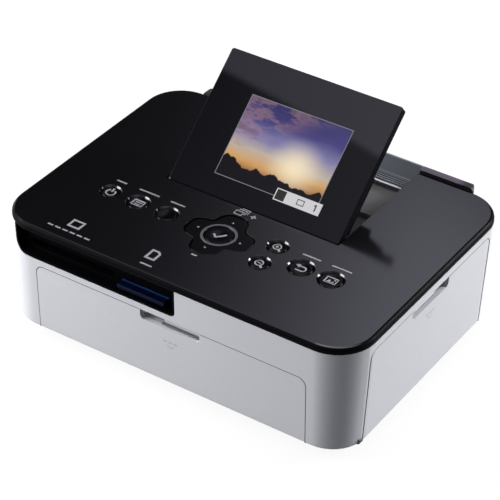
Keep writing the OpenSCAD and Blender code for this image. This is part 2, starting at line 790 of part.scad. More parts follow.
// Dished push button with a flange under the panel and a stem over its switch
module push_button(x, y, r) {
  color("#0c0c0f") translate([x, y, 0]) difference() {
    union() {
      translate([0, 0, flange_top - flange_t]) cylinder(r = r, h = button_top - flange_top + flange_t);
      translate([0, 0, flange_top - flange_t]) cylinder(r = r + 0.9, h = flange_t);
      translate([0, 0, stem_bottom]) cylinder(r = 1.4, h = flange_top - stem_bottom);
    }
    translate([0, 0, button_top + 3 * r]) sphere(3 * r + 0.5);
  }
}

module button_named(name) {
  for (b = BUTTONS) if (b[0] == name) push_button(b[1], b[2], b[3] - dish_w);
}

module ok_button() {
  color("#0c0c0f") translate([pad_x, row_y, 0]) difference() {
    union() {
      translate([0, 0, pad_z - 0.4]) cylinder(r = ok_r, h = button_top - pad_z + 0.4);
      translate([0, 0, pad_z - 0.4]) cylinder(r = ok_r + 1.2, h = 0.4);
      translate([0, 0, stem_bottom]) cylinder(r = 1.4, h = pad_z - stem_bottom);
    }
    translate([0, 0, button_top + 3 * ok_r]) sphere(3 * ok_r + 0.4);
  }
}

module nav_pad() {
  color("#0c0c0f") translate([pad_x, row_y, 0]) difference() {
    union() {
      translate([0, 0, pad_z + 0.4]) linear_extrude(button_top - pad_z - 0.4) pad_outline(0);
      translate([0, 0, pad_z + 0.4]) linear_extrude(flange_t) pad_outline(1.3);
    }
    translate([0, 0, pad_z - 1]) cylinder(r = ok_r + 0.4, h = 8);
    translate([0, 0, pad_z - 1]) cylinder(r = ok_r + 1.8, h = 1.9);
  }
}

module nav_seat() {
  color("dimgray") translate([pad_x, row_y, pad_z - 1]) difference() {
    cylinder(r = pad_reach - pad_waist + 1, h = 0.65);
    translate([0, 0, -1]) cylinder(r = ok_r + 3.2, h = 3);
  }
}

module control_board() {
  color("seagreen") difference() {
    span([-half_w + 15, board_front, board_top - board_t], [half_w - 20, board_rear, board_top]);
    bosses_at(0.9, board_top - 3);
  }
}

module key_switches() {
  color("gold") {
    for (b = BUTTONS) switch_at(b[1], b[2]);
    switch_at(pad_x, row_y);
    for (a = [0 : 90 : 270]) switch_at(pad_x + 10.7 * cos(a), row_y + 10.7 * sin(a));
  }
}

module switch_at(x, y) {
  translate([x, y, board_top]) {
    cylinder(r = 2.2, h = switch_h / 2);
    cylinder(r = 1.5, h = switch_h);
  }
}

module board_standoffs() {
  rear = recess_back + main_board_d - 2.5;
  front = rear - 18.5;
  places = [[cf_left + 3.5, rear], [34, rear], [34, front], [recess_right + 1, front]];
  color("gold") for (p = places) translate([p[0], p[1], main_board_top])
    cylinder(r = 2, h = board_top - board_t - main_board_top);
}

module main_board() {
  color("darkgreen") {
    span([cf_left - 1.5, recess_back + 2, main_board_top - board_t],
      [40, recess_back + 2 + main_board_d, main_board_top]);
    // chips on the board
    translate([12, recess_back + 10, main_board_top - eps]) cube([14, 14, 1.4]);
    translate([8, recess_back + 28, main_board_top - eps]) cube([12, 7, 1.2]);
  }
}

module sd_socket() {
  color("silver") difference() {
    span([card_x - card_w / 2 - 1.4, recess_back + 1.6, main_board_top],
      [card_x + card_w / 2 + 1.4, card_front + card_l + 1.4, card_z + card_t + 1.1]);
    span([card_x - card_w / 2 - 0.3, recess_back, card_z - 0.3],
      [card_x + card_w / 2 + 0.3, card_front + card_l + 0.3, card_z + card_t + 0.3]);
  }
}

module cf_socket() {
  color("#303236") difference() {
    span([cf_left - 1, recess_back + 1.6, main_board_top],
      [cf_left + cf_w + 1, recess_back + 1.6 + cf_d, card_z + 5.2]);
    span([cf_left, recess_back, card_z + 0.5], [cf_left + cf_w, recess_back + cf_d - 4.4, card_z + 4.2]);
  }
}

module memory_card() {
  color("royalblue") difference() {
    span([card_x - card_w / 2, card_front, card_z],
      [card_x + card_w / 2, card_front + card_l, card_z + card_t]);
    translate([card_x + card_w / 2, card_front + card_l, card_z - 1]) rotate(45)
      cube([6, 6, 8], center = true);
  }
}

// Flat cable that loops from the main board up to the control board
module flat_cable() {
  r = (board_top - board_t - main_board_top) / 2;
  zc = main_board_top + r;
  rear = recess_back + main_board_d + 4;
  color("ivory") through_side(-4, 10) {
    difference() {
      intersection() {
        difference() {
          translate([rear, zc]) circle(r);
          translate([rear, zc]) circle(r - 0.3);
        }
        translate([rear, zc - 10]) square(20);
      }
    }
    for (z = [main_board_top, board_top - board_t - 0.3]) translate([rear - 4, z]) square([4.01, 0.3]);
  }
}

// ---------- chassis ----------

module chassis_base() {
  color("lightsteelblue") span([-plate_x - plate_t, front_y + 14, floor_top + seat],
    [plate_x + plate_t, base_rear, base_top]);
}

// Side plate outline in Y-Z
module plate_outline(rear) {
  front = front_y + 16;
  step = TAKEUP[0] - 14;
  top = PIVOT[1] + 6;
  polygon([[front, base_top], [base_rear, base_top], [base_rear, shelf_top + 1.5],
    [rear, shelf_top + 1.5], [rear, top], [step, top], [step, top - 8], [front, top - 8]]);
}

module bearing_holes() {
  translate(PLATEN) circle(stud_r + slack);
  translate(GRIP) circle(shaft_r + slack);
  translate(PINCH) circle(1.2 + slack);
  translate(PICKUP) circle(shaft_r + slack);
  translate(PIVOT) circle(shaft_r + slack);
}

module left_plate() {
  color("lightsteelblue") through_side(-plate_x - plate_t, -plate_x) difference() {
    plate_outline(MOTOR[0] + 4.5);
    bearing_holes();
    translate(TAKEUP) circle(shaft_r + slack);
    translate(SUPPLY) circle(shaft_r + slack);
    translate(MOTOR) circle(3.05);
    for (p = [IDLER, SECOND, LINK]) translate(p) circle(stud_r + slack);
  }
}

module right_plate() {
  color("lightsteelblue") through_side(plate_x, plate_x + plate_t) difference() {
    plate_outline(base_rear + eps);
    bearing_holes();
    // mouth for the ink cassette
    translate([TAKEUP[0] - tube_r - 0.4, TAKEUP[1] - tube_r - 0.4])
      square([SUPPLY[0] - TAKEUP[0] + 2 * tube_r + 0.8, 2 * tube_r + 0.8]);
  }
}

// Plate under the paper path, with slots for the two rollers
module paper_guide() {
  side = plate_x - seat;
  color("#2b2c30") difference() {
    union() {
      span([-side, TAKEUP[0] - 6, paper_z - 3], [side, base_rear, paper_z - 1.4]);
      span([-exit_half, base_rear - eps, paper_z - 3], [exit_half, panel_rear - wall - 2, paper_z - 1.4]);
      for (x = [-side, side - 1.6], y = [TAKEUP[0] - 6, PLATEN[0] + 13]) span([x, y, base_top + seat],
        [x + 1.6, y + 4, paper_z - 2.9]);
    }
    for (p = [[PLATEN, platen_r], [GRIP, grip_r]]) span([-roller_half - 2, p[0][0] - p[1] - 1, 0],
      [roller_half + 2, p[0][0] + p[1] + 1, paper_z]);
    for (p = [[PLATEN, stud_r], [GRIP, shaft_r]]) rod_x(p[0], p[1] + 0.5, -plate_x - 1, plate_x + 1);
  }
}

module cassette_rails() {
  color("#2b2c30") for (s = [-1, 1]) {
    a = s * (plate_x - 3.7);
    b = s * (plate_x - seat);
    span([min(a, b), front_y + plinth_inset + wall + 0.3, base_top + seat],
      [max(a, b), TAKEUP[0] - 10, PICKUP[1] - 4]);
  }
}

// ---------- rollers and gears ----------

module platen_roller() {
  color("#1c1c1c") difference() {
    rod_x(PLATEN, platen_r, -roller_half + 2, roller_half - 2);
    rod_x(PLATEN, stud_r, -roller_half, roller_half);
  }
}

module platen_shaft() {
  color("silver") rod_x(PLATEN, stud_r - 0.005, -plate_x - plate_t - 0.4, plate_x + plate_t + 0.4);
}

module grip_roller() {
  color("silver") {
    rod_x(GRIP, grip_r, -roller_half, roller_half);
    rod_x(GRIP, shaft_r, near_x - gear_t - 0.2, plate_x + plate_t + 0.8);
  }
}

module grip_gear() { color("ivory") gear(GRIP, z_grip, t_grip, near_x - gear_t, shaft_r + 0.005); }

module pinch_roller() {
  color("#1c1c1c") {
    rod_x(PINCH, pinch_r, -roller_half + 4, roller_half - 4);
    rod_x(PINCH, 1.2, -plate_x - plate_t - 0.2, plate_x + plate_t + 0.8);
  }
}

module pickup_roller() {
  color("#1c1c1c") {
    rod_x(PICKUP, pickup_r, -14, 14);
    rod_x(PICKUP, shaft_r, far_x - gear_t - 0.2, plate_x + plate_t + 0.8);
  }
}

module pickup_gear() { color("ivory") gear(PICKUP, z_pickup, t_pickup, far_x - gear_t, shaft_r + 0.005); }

module spool(p, wound) {
  rod_x(p, spool_r, -roller_half, roller_half);
  rod_x(p, wound, -roller_half + 4, roller_half - 4);
  for (x = [-roller_half + 2, roller_half - 3]) rod_x(p, tube_r - 1.3, x, x + 1);
}

module takeup_spool() {
  color("#3a3440") {
    spool(TAKEUP, 5.6);
    rod_x(TAKEUP, shaft_r, far_x - gear_t - 0.2, -roller_half + 1);
  }
}

module takeup_gear() { color("ivory") gear(TAKEUP, z_takeup, t_takeup, far_x - gear_t, shaft_r + 0.005); }

module supply_spool() {
  color("#4a2a55") {
    spool(SUPPLY, 6.8);
    rod_x(SUPPLY, shaft_r, -plate_x - plate_t - 0.2, -roller_half + 1);
  }
}

// Two tubes with a slot each for the ribbon, joined by a bridge at both ends
module ink_cassette() {
  z0 = spool_z - 3;
  z1 = spool_z + 5;
  mid = (TAKEUP[0] + SUPPLY[0]) / 2;
  color("#26262a") difference() {
    union() {
      for (p = [TAKEUP, SUPPLY]) rod_x(p, tube_r, -cassette_half, cassette_half);
      for (x = [-cassette_half, cassette_half - 3.5]) span([x, TAKEUP[0], z0], [x + 3.5, SUPPLY[0], z1]);
      span([cassette_half - 0.1, mid - 8, z0], [cassette_half + 8.5, mid + 8, z1]);
    }
    for (p = [TAKEUP, SUPPLY]) {
      rod_x(p, tube_r - 1, -cassette_half + 1.5, cassette_half - 1.5);
      rod_x(p, spool_r + 0.3, -cassette_half - 1, -cassette_half + 5);
    }
    // slots that the ribbon leaves by
    for (y = [TAKEUP[0] + 2, SUPPLY[0] - 12]) span([-roller_half - 0.5, y, spool_z - tube_r - 1],
      [roller_half + 0.5, y + 10, z0]);
    // hollow under the grip
    span([cassette_half + 1.5, mid - 6, z0 - 1], [cassette_half + 6.5, mid + 6, z1 - 1.6]);
  }
}

// ---------- print head ----------

module print_head() {
  color("tan") span([-head_half, head_y0, paper_z + head_gap], [head_half, head_y1, paper_z + head_gap + 3]);
}

module heat_sink() {
  z0 = paper_z + head_gap + 3 + eps;
  color("silver") {
    span([-sink_half, head_y0, z0], [sink_half, head_y1, z0 + 2]);
    for (i = [0 : 3]) span([-sink_half, head_y0 + 0.4 + 2.7 * i, z0],
      [sink_half, head_y0 + 1.5 + 2.7 * i, z0 + sink_h]);
  }
}

// Arm from the shaft over the supply tube, down to the heat sink
module head_bracket() {
  z0 = paper_z + head_gap + 3 + sink_h + 2 * eps;
  rear = PIVOT[0] - 3;
  color("lightsteelblue") difference() {
    union() {
      span([-bracket_half, head_y0, z0], [bracket_half, head_y1, z0 + 1.5]);
      span([-bracket_half, PLATEN[0] - 0.8, z0], [bracket_half, PLATEN[0] + 0.8, PIVOT[1]]);
      span([-bracket_half, PLATEN[0] - 0.8, PIVOT[1] - 1], [bracket_half, PIVOT[0], PIVOT[1] + 0.6]);
      for (s = [-1, 1]) rod_x(PIVOT, 3, s * ear_x - 5, s * ear_x + 5);
    }
    for (s = [-1, 1]) rod_x(PIVOT, shaft_r + slack, s * ear_x - 6, s * ear_x + 6);
    // only the two ears reach the shaft
    for (x = [[-bracket_half - 1, -ear_x - 5.5], [-ear_x + 5.5, ear_x - 5.5],
        [ear_x + 5.5, bracket_half + 1]])
      span([x[0], rear, PIVOT[1] - 12], [x[1], rear + 12, PIVOT[1] + 8]);
  }
}

module head_shaft() {
  color("silver") rod_x(PIVOT, shaft_r, -plate_x - plate_t - 0.3, plate_x + plate_t + 0.3);
}

// ---------- drive ----------

module feed_motor() {
  color("darkgray") {
    rod_x(MOTOR, motor_r, -plate_x + seat, -plate_x + motor_l);
    rod_x(MOTOR, 3, -plate_x - plate_t, -plate_x + 1);
    rod_x(MOTOR, 2.5, -plate_x + motor_l - 1, -plate_x + motor_l + 1.5);
  }
}

module motor_pinion() {
  color("ivory") gear(MOTOR, z_pinion, t_pinion, far_x - gear_t, 1.005);
  color("silver") rod_x(MOTOR, 1, far_x - gear_t - 0.4, -plate_x - plate_t - 0.1);
}

// Large wheel outside, small wheel inside, one solid
module reduction_gear() {
  color("ivory") {
    gear(IDLER, z_large, t_large, far_x - gear_t, stud_r + slack);
    gear(IDLER, z_small, t_small, near_x - gear_t, stud_r + slack);
    difference() {
      rod_x(IDLER, stud_r + 2, far_x - eps, near_x - gear_t + eps);
      rod_x(IDLER, stud_r + slack, far_x - 1, near_x);
    }
  }
}

module idler_gear() { color("ivory") gear(SECOND, z_idler, t_idler, far_x - gear_t, stud_r + slack); }

module link_gear() { color("ivory") gear(LINK, z_link, t_link, far_x - gear_t, stud_r + slack); }

module gear_studs() {
  color("silver") for (p = [IDLER, SECOND, LINK]) {
    rod_x(p, stud_r, far_x - gear_t - 1, -plate_x - 0.2);
    rod_x(p, stud_r + 0.8, far_x - gear_t - 1, far_x - gear_t - 0.3);
    if (p != IDLER) rod_x(p, stud_r + 1, far_x + 0.3, -plate_x - plate_t);
    if (p == IDLER) rod_x(p, stud_r + 1, near_x + 0.3, -plate_x - plate_t);
  }
}

module fan_frame() {
  color("#222226") difference() {
    span([fan_x - fan_w / 2, fan_y0, fan_z - fan_w / 2], [fan_x + fan_w / 2, fan_y1, fan_z + fan_w / 2]);
    difference() {
      rod_y([fan_x, fan_z], 9.6, fan_y0 - 1, fan_y1 + 1);
      rod_y([fan_x, fan_z], 4, fan_y1 - 1.2, fan_y1 + 2);
      for (a = [45, 135]) translate([fan_x, fan_y1 - 0.6, fan_z]) rotate([0, a, 0])
        cube([22, 1.2, 1.4], center = true);
    }
    fan_corners() rod_y([0, 0], 1, fan_y0 - 1, fan_y1 + 1);
    rod_y([fan_x, fan_z], 1 + slack, fan_y1 - 3, fan_y1 - 0.6);
  }
}

module fan_rotor() {
  color("#2c2c31") {
    rod_y([fan_x, fan_z], 4.4, fan_y0 + 0.3, fan_y1 - 1.6);
    rod_y([fan_x, fan_z], 1, fan_y1 - 2, fan_y1 - 0.7);
    for (i = [0 : 6]) translate([fan_x, (fan_y0 + fan_y1 - 1.3) / 2, fan_z]) rotate([0, 360 / 7 * i, 0])
      translate([6.4, 0, 0]) rotate([35, 0, 0]) cube([5.2, 5, 0.7], center = true);
  }
}

// Board behind the rear cover with the power socket and the computer socket
module io_board() {
  color("darkgreen") {
    span([io_x - 5.4, io_y, dc_z - 5], [io_x + 17, io_y + board_t, usb_z + 14]);
    difference() {
      union() {
        span([io_x - 4.4, io_y + board_t - eps, dc_z - 4.4],
          [io_x + 4.4, rear_y - wall - 0.2, dc_z + 4.4]);
        rod_y([io_x, dc_z], 4.3, io_y + board_t, rear_y - 0.6);
      }
      rod_y([io_x, dc_z], 2.8, io_y + 6, rear_y + 1);
    }
    rod_y([io_x, dc_z], 0.8, io_y + 5, rear_y - 2);
    difference() {
      span([io_x - 6, io_y + board_t - eps, usb_z - 5.5], [io_x + 6, rear_y - 0.6, usb_z + 5.5]);
      span([io_x - 4.3, io_y + 5, usb_z - 4], [io_x + 4.3, rear_y + 1, usb_z + 4]);
    }
    span([io_x - 2.8, io_y + 4.9, usb_z - 1.6], [io_x + 2.8, rear_y - 2.5, usb_z + 1.6]);
  }
}

// ---------- every node ----------

lower_case();
top_cover();
rear_cover();
paper_door();
ink_door();
door_hinge_pins();
card_bezel();
memory_card();
rubber_feet();
case_screws();
lcd_window();
lcd_back_shell();
lcd_module();
lcd_hinge_pins();
button_named("power");  // power_button
button_named("menu");  // menu_button
button_named("edit");  // edit_button
button_named("zoom_in");  // zoom_in_button
button_named("zoom_out");  // zoom_out_button
button_named("back");  // back_button
button_named("print");  // print_button
ok_button();
nav_pad();
nav_seat();
control_board();
key_switches();
board_standoffs();
main_board();
sd_socket();
cf_socket();
flat_cable();
chassis_base();
left_plate();
right_plate();
paper_guide();
cassette_rails();
platen_roller();
platen_shaft();
grip_roller();
grip_gear();
pinch_roller();
pickup_roller();
pickup_gear();
takeup_spool();
takeup_gear();
supply_spool();
ink_cassette();
print_head();
heat_sink();
head_bracket();
head_shaft();
feed_motor();
motor_pinion();
reduction_gear();
idler_gear();
link_gear();
gear_studs();
fan_frame();
fan_rotor();
io_board();
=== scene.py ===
import json
import math

import bmesh
import bpy
from mathutils import Matrix, Quaternion, Vector

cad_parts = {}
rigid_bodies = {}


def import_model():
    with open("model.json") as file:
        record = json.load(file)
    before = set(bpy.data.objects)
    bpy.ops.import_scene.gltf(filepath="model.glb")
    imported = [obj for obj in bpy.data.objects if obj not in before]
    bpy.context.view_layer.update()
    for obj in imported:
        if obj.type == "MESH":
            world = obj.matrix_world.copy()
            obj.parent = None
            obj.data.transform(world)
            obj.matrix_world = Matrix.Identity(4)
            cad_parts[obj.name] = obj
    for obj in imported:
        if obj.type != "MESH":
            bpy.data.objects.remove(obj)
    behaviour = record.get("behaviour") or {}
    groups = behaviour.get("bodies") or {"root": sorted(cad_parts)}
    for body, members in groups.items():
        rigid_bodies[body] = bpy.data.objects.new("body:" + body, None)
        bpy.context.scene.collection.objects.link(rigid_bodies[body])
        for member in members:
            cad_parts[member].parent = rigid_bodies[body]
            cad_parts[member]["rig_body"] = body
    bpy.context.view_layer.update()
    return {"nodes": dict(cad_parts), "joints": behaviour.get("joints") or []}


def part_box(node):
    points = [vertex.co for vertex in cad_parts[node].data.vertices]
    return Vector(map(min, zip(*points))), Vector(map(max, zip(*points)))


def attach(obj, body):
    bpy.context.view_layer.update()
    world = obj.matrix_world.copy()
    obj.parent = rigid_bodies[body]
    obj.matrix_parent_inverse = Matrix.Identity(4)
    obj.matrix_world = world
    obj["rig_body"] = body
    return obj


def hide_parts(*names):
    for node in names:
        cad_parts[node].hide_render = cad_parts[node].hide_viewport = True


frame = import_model()
nodes = frame["nodes"]
scene = bpy.context.scene
mm = 0.001  # shapes are drawn in millimetres, and a finished mesh is scaled by this
print("frame loaded,", len(nodes), "solids")


# small helpers for shader trees, whose lengths are in metres

def addNode(tree, kind, **settings):
    node = tree.nodes.new(kind)
    for key, value in settings.items():
        setattr(node, key, value)
    return node


def feed(tree, socket, value):
    # a number, a colour or another node's output
    if isinstance(value, bpy.types.NodeSocket):
        tree.links.new(value, socket)
    elif value is not None:
        socket.default_value = value


def feedAll(tree, node, values):
    for name, value in values.items():
        feed(tree, node.inputs[name], value)


def calc(tree, operation, a, b=None, clamp=False):
    node = addNode(tree, "ShaderNodeMath", operation=operation, use_clamp=clamp)
    feed(tree, node.inputs[0], a)
    feed(tree, node.inputs[1], b)
    return node.outputs[0]


def plus(tree, a, b):
    return calc(tree, "ADD", a, b)


def minus(tree, a, b):
    return calc(tree, "SUBTRACT", a, b)


def times(tree, value, *others):
    for other in others:
        value = calc(tree, "MULTIPLY", value, other)
    return value


def remap(tree, value, low, high, toLow=0.0, toHigh=1.0, smooth=True):
    node = addNode(tree, "ShaderNodeMapRange", interpolation_type="SMOOTHSTEP" if smooth else "LINEAR")
    feedAll(tree, node, {"Value": value, "From Min": low, "From Max": high, "To Min": toLow, "To Max": toHigh})
    return node.outputs["Result"]


def past(tree, value, place, soft):
    # 0 before a place and 1 beyond it
    return remap(tree, value, place, place + soft)


def before(tree, value, place, soft):
    return remap(tree, value, place, place + soft, 1.0, 0.0)


def blend(tree, factor, a, b):
    # between two numbers
    node = addNode(tree, "ShaderNodeMix")
    feedAll(tree, node, {"Factor": factor, "A": a, "B": b})
    return node.outputs["Result"]


def blendColour(tree, factor, a, b, kind="MIX"):
    node = addNode(tree, "ShaderNodeMix", data_type="RGBA", blend_type=kind)
    feed(tree, node.inputs["Factor"], factor)
    feed(tree, node.inputs[6], a)  # the sockets for colours
    feed(tree, node.inputs[7], b)
    return node.outputs[2]


def shaded(tree, colour, shade):
    return blendColour(tree, 1.0, colour, shade, "MULTIPLY")


def noise(tree, place, scale, detail=2.0, roughness=0.5):
    node = addNode(tree, "ShaderNodeTexNoise")
    feedAll(tree, node, {"Vector": place, "Scale": scale, "Detail": detail, "Roughness": roughness})
    return node.outputs[0]


def stretched(tree, place, scale, offset=(0, 0, 0)):
    node = addNode(tree, "ShaderNodeMapping")
    feedAll(tree, node, {"Vector": place, "Location": offset, "Scale": scale})
    return node.outputs[0]


def axes(tree, place):
    node = addNode(tree, "ShaderNodeSeparateXYZ")
    feed(tree, node.inputs[0], place)
    return node.outputs


def facingUp(tree):
    return axes(tree, addNode(tree, "ShaderNodeNewGeometry").outputs["Normal"])[2]


def grey(value):
    return (value, value, value, 1)


def newGroup(name, inputs, outputs):
    group = bpy.data.node_groups.new(name, "ShaderNodeTree")
    group.interface.new_socket("Place", in_out="INPUT", socket_type="NodeSocketVector")
    for label, start in inputs.items():
        group.interface.new_socket(label, in_out="INPUT", socket_type="NodeSocketFloat").default_value = start
    for label in outputs:
        group.interface.new_socket(label, in_out="OUTPUT", socket_type="NodeSocketFloat")
    return group, addNode(group, "NodeGroupInput").outputs, addNode(group, "NodeGroupOutput").inputs


# effects that several finishes share

grainLook = {"detail": 3.0, "roughness": 0.6, "driftScale": 28.0}


def makeGrainEffect():
    # the fine texture of a moulded face, and slow changes of shade over it
    group, given, out = newGroup("mouldedGrain", {"Scale": 2500.0, "Contrast": 0.05, "Drift": 0.03},
                                 ["Shade", "Height"])
    fine = noise(group, given["Place"], given["Scale"], grainLook["detail"], grainLook["roughness"])
    slow = noise(group, given["Place"], grainLook["driftScale"])
    fineShade = times(group, minus(group, fine, 0.5), given["Contrast"])
    slowShade = times(group, minus(group, slow, 0.5), given["Drift"])
    feed(group, out["Shade"], plus(group, plus(group, fineShade, slowShade), 1.0))
    feed(group, out["Height"], fine)
    return group


wearLook = {"edge": (0.51, 0.60), "scale": 420.0, "detail": 4.0, "roughness": 0.65, "broken": (0.42, 0.68)}


def makeWearEffect():
    # rubbed edges and corners, broken up by noise
    group, given, out = newGroup("edgeWear", {"Amount": 0.4}, ["Mask"])
    corner = addNode(group, "ShaderNodeNewGeometry").outputs["Pointiness"]
    spots = noise(group, given["Place"], wearLook["scale"], wearLook["detail"], wearLook["roughness"])
    feed(group, out["Mask"], times(group, remap(group, corner, *wearLook["edge"]),
                                   remap(group, spots, *wearLook["broken"]), given["Amount"]))
    return group


smudgeLook = {
    "wipeStretch": (1.0, 0.35, 1.0), "wipeScale": 60.0, "wipeDetail": 4.0, "wipeRoughness": 0.6,
    "wipes": (0.4, 0.7), "speckScale": 1400.0, "specks": (0.68, 0.8), "level": (0.3, 0.95),
}


def makeSmudgeEffect():
    # faint wipes, and dust on what faces up, which change the gloss more than the colour
    group, given, out = newGroup("smudges", {"Amount": 0.1}, ["Gloss", "Dust"])
    wipes = noise(group, stretched(group, given["Place"], smudgeLook["wipeStretch"]), smudgeLook["wipeScale"],
                  smudgeLook["wipeDetail"], smudgeLook["wipeRoughness"])
    specks = remap(group, noise(group, given["Place"], smudgeLook["speckScale"]), *smudgeLook["specks"])
    level = remap(group, facingUp(group), *smudgeLook["level"])
    feed(group, out["Gloss"], times(group, remap(group, wipes, *smudgeLook["wipes"]), given["Amount"]))
    feed(group, out["Dust"], times(group, specks, level, given["Amount"]))
    return group


drawnLook = {"stretch": (60.0, 4200.0, 4200.0), "detail": 3.0, "roughness": 0.6}


def makeDrawnEffect():
    # fine drawn lines along X, for rods and pressed sheet
    group, given, out = newGroup("drawnLines", {"Contrast": 0.2}, ["Shade", "Height"])
    lines = noise(group, stretched(group, given["Place"], drawnLook["stretch"]), 1.0,
                  drawnLook["detail"], drawnLook["roughness"])
    feed(group, out["Shade"], plus(group, times(group, minus(group, lines, 0.5), given["Contrast"]), 1.0))
    feed(group, out["Height"], lines)
    return group


effects = {"grain": makeGrainEffect(), "wear": makeWearEffect(),
           "smudges": makeSmudgeEffect(), "drawn": makeDrawnEffect()}


def useEffect(tree, name, place, **amounts):
    node = addNode(tree, "ShaderNodeGroup", node_tree=effects[name])
    feedAll(tree, node, {"Place": place, **amounts})
    return node.outputs


def useGrain(tree, place, scale, contrast, drift):
    return useEffect(tree, "grain", place, Scale=scale, Contrast=contrast, Drift=drift)


def newMaterial(name):
    material = bpy.data.materials.new(name)
    material.use_nodes = True
    tree = material.node_tree
    place = addNode(tree, "ShaderNodeTexCoord").outputs["Object"]
    return material, tree, tree.nodes["Principled BSDF"], place


def bump(tree, shader, height, strength, distance=0.0001):
    node = addNode(tree, "ShaderNodeBump")
    feedAll(tree, node, {"Strength": strength, "Distance": distance, "Height": height})
    feed(tree, shader.inputs["Normal"], node.outputs[0])


dust = (0.45, 0.44, 0.43, 1)
wornRougher = 0.15


def mouldedFinish(name, colour, roughness, scale=2500.0, contrast=0.05, drift=0.03, texture=0.1,
                  worn=0.0, wornColour=None, smudge=0.0, metallic=0.0, ior=1.5, shine=0.5):
    material, tree, shader, place = newMaterial(name)
    grain = useGrain(tree, place, scale, contrast, drift)
    base = shaded(tree, (*colour, 1), grain["Shade"])
    gloss = times(tree, grain["Shade"], roughness)
    if worn:
        wear = useEffect(tree, "wear", place, Amount=worn)["Mask"]
        base = blendColour(tree, wear, base, (*wornColour, 1))
        gloss = plus(tree, gloss, times(tree, wear, wornRougher))
    if smudge:
        marks = useEffect(tree, "smudges", place, Amount=smudge)
        base = blendColour(tree, marks["Dust"], base, dust)
        gloss = plus(tree, gloss, marks["Gloss"])
    feedAll(tree, shader, {"Base Color": base, "Roughness": gloss, "Metallic": metallic, "IOR": ior,
                           "Specular IOR Level": shine})
    if texture:
        bump(tree, shader, grain["Height"], texture)
    return material


def startLacquer(name, look):
    material, tree, shader, place = newMaterial(name)
    grain = useGrain(tree, place, *look["grain"])
    return material, tree, shader, place, grain, useEffect(tree, "smudges", place, Amount=look["smudge"])


def finishLacquer(tree, shader, look, base, grain, marks, roughness, coat):
    # a clear coat over dull plastic, with dust on it
    feedAll(tree, shader, {
        "Base Color": blendColour(tree, marks["Dust"], shaded(tree, base, grain["Shade"]), dust),
        "Roughness": roughness, "IOR": 1.2, "Specular IOR Level": 0.1,
        "Coat Weight": coat, "Coat Roughness": look["coatRoughness"], "Coat IOR": look["coatIor"],
    })


panelLook = {
    # the bay's grey is painted lighter than the floor's own colour, to make up for the display's shadow on it
    "colour": (0.0028, 0.0028, 0.0036, 1), "bay": (0.27, 0.265, 0.27, 1), "dull": 0.36,
    "coatRoughness": 0.13, "coatIor": 1.64, "grain": (1500.0, 0.05, 0.05), "smudge": 0.03,
    "keysHalf": 0.070, "keysFrom": -0.050, "keysTo": -0.010,
    "bayHalf": 0.0442, "bayFrom": -0.005, "bayTop": 0.0572, "soft": 0.0002,
    "top": (0.80, 0.97), "under": (-0.15, -0.45),
}


def pianoFinish(name):
    # polished on top, along the lower edge and round the keys; dull on the band between and in the display's bay,
    # whose grey floor is painted lighter to make up for the display's shadow on it
    look = panelLook
    material, tree, shader, place, grain, marks = startLacquer(name, look)
    x, y, z = axes(tree, place)
    side = calc(tree, "ABSOLUTE", x)
    soft = look["soft"]
    keys = times(tree, before(tree, side, look["keysHalf"], soft), past(tree, y, look["keysFrom"], soft),
                 before(tree, y, look["keysTo"], soft))
    bay = times(tree, before(tree, side, look["bayHalf"], soft), past(tree, y, look["bayFrom"], soft),
                before(tree, z, look["bayTop"], soft))
    up = facingUp(tree)
    polished = calc(tree, "ADD", remap(tree, up, *look["top"]), remap(tree, up, *look["under"]), True)
    polished = calc(tree, "SUBTRACT", calc(tree, "MAXIMUM", polished, keys), bay, True)
    finishLacquer(tree, shader, look, blendColour(tree, bay, look["colour"], look["bay"]), grain, marks,
                  plus(tree, times(tree, grain["Shade"], look["dull"]), marks["Gloss"]), polished)
    return material


windowLook = {
    "colour": (0.0022, 0.0023, 0.0040, 1), "dull": 0.4, "coatRoughness": 0.015, "coatIor": 1.6,
    "grain": (1500.0, 0.04, 0.04), "smudge": 0.01, "facing": (0.0, -0.652, 0.758), "face": (0.86, 0.97),
}


def glassFinish(name):
    # polished on the face, dull on the thin sides
    look = windowLook
    material, tree, shader, _, grain, marks = startLacquer(name, look)
    turned = addNode(tree, "ShaderNodeVectorMath", operation="DOT_PRODUCT")
    feed(tree, turned.inputs[0], addNode(tree, "ShaderNodeTexCoord").outputs["Normal"])
    feed(tree, turned.inputs[1], look["facing"])
    finishLacquer(tree, shader, look, look["colour"], grain, marks, times(tree, grain["Shade"], look["dull"]),
                  remap(tree, turned.outputs["Value"], *look["face"]))
    return material


lineDepth = 0.00005  # of drawn lines, tracks and wound film


def metalFinish(name, colour, roughness, contrast=0.2, texture=0.05):
    material, tree, shader, place = newMaterial(name)
    lines = useEffect(tree, "drawn", place, Contrast=contrast)
    feedAll(tree, shader, {"Base Color": shaded(tree, (*colour, 1), lines["Shade"]),
                           "Roughness": times(tree, lines["Shade"], roughness), "Metallic": 1.0})
    bump(tree, shader, lines["Height"], texture, lineDepth)
    return material


boardLook = {
    "mask": (0.004, 0.060, 0.022, 1), "track": (0.010, 0.115, 0.045, 1), "roughness": 0.32, "height": 0.15,
    "tracks": {"Scale": 520.0, "Mortar Size": 0.05, "Mortar Smooth": 0.1, "Brick Width": 2.2, "Row Height": 0.42},
    "via": (0.52, 0.50, 0.44, 1), "viaScale": 420.0, "viaEdge": (0.17, 0.12), "viaMetal": 0.8,
    "socketsBehind": 0.0535, "metalFrom": 0.0220, "soft": 0.0002,
    "socketBlack": (0.012, 0.012, 0.013, 1), "socketMetal": (0.55, 0.55, 0.53, 1),
}


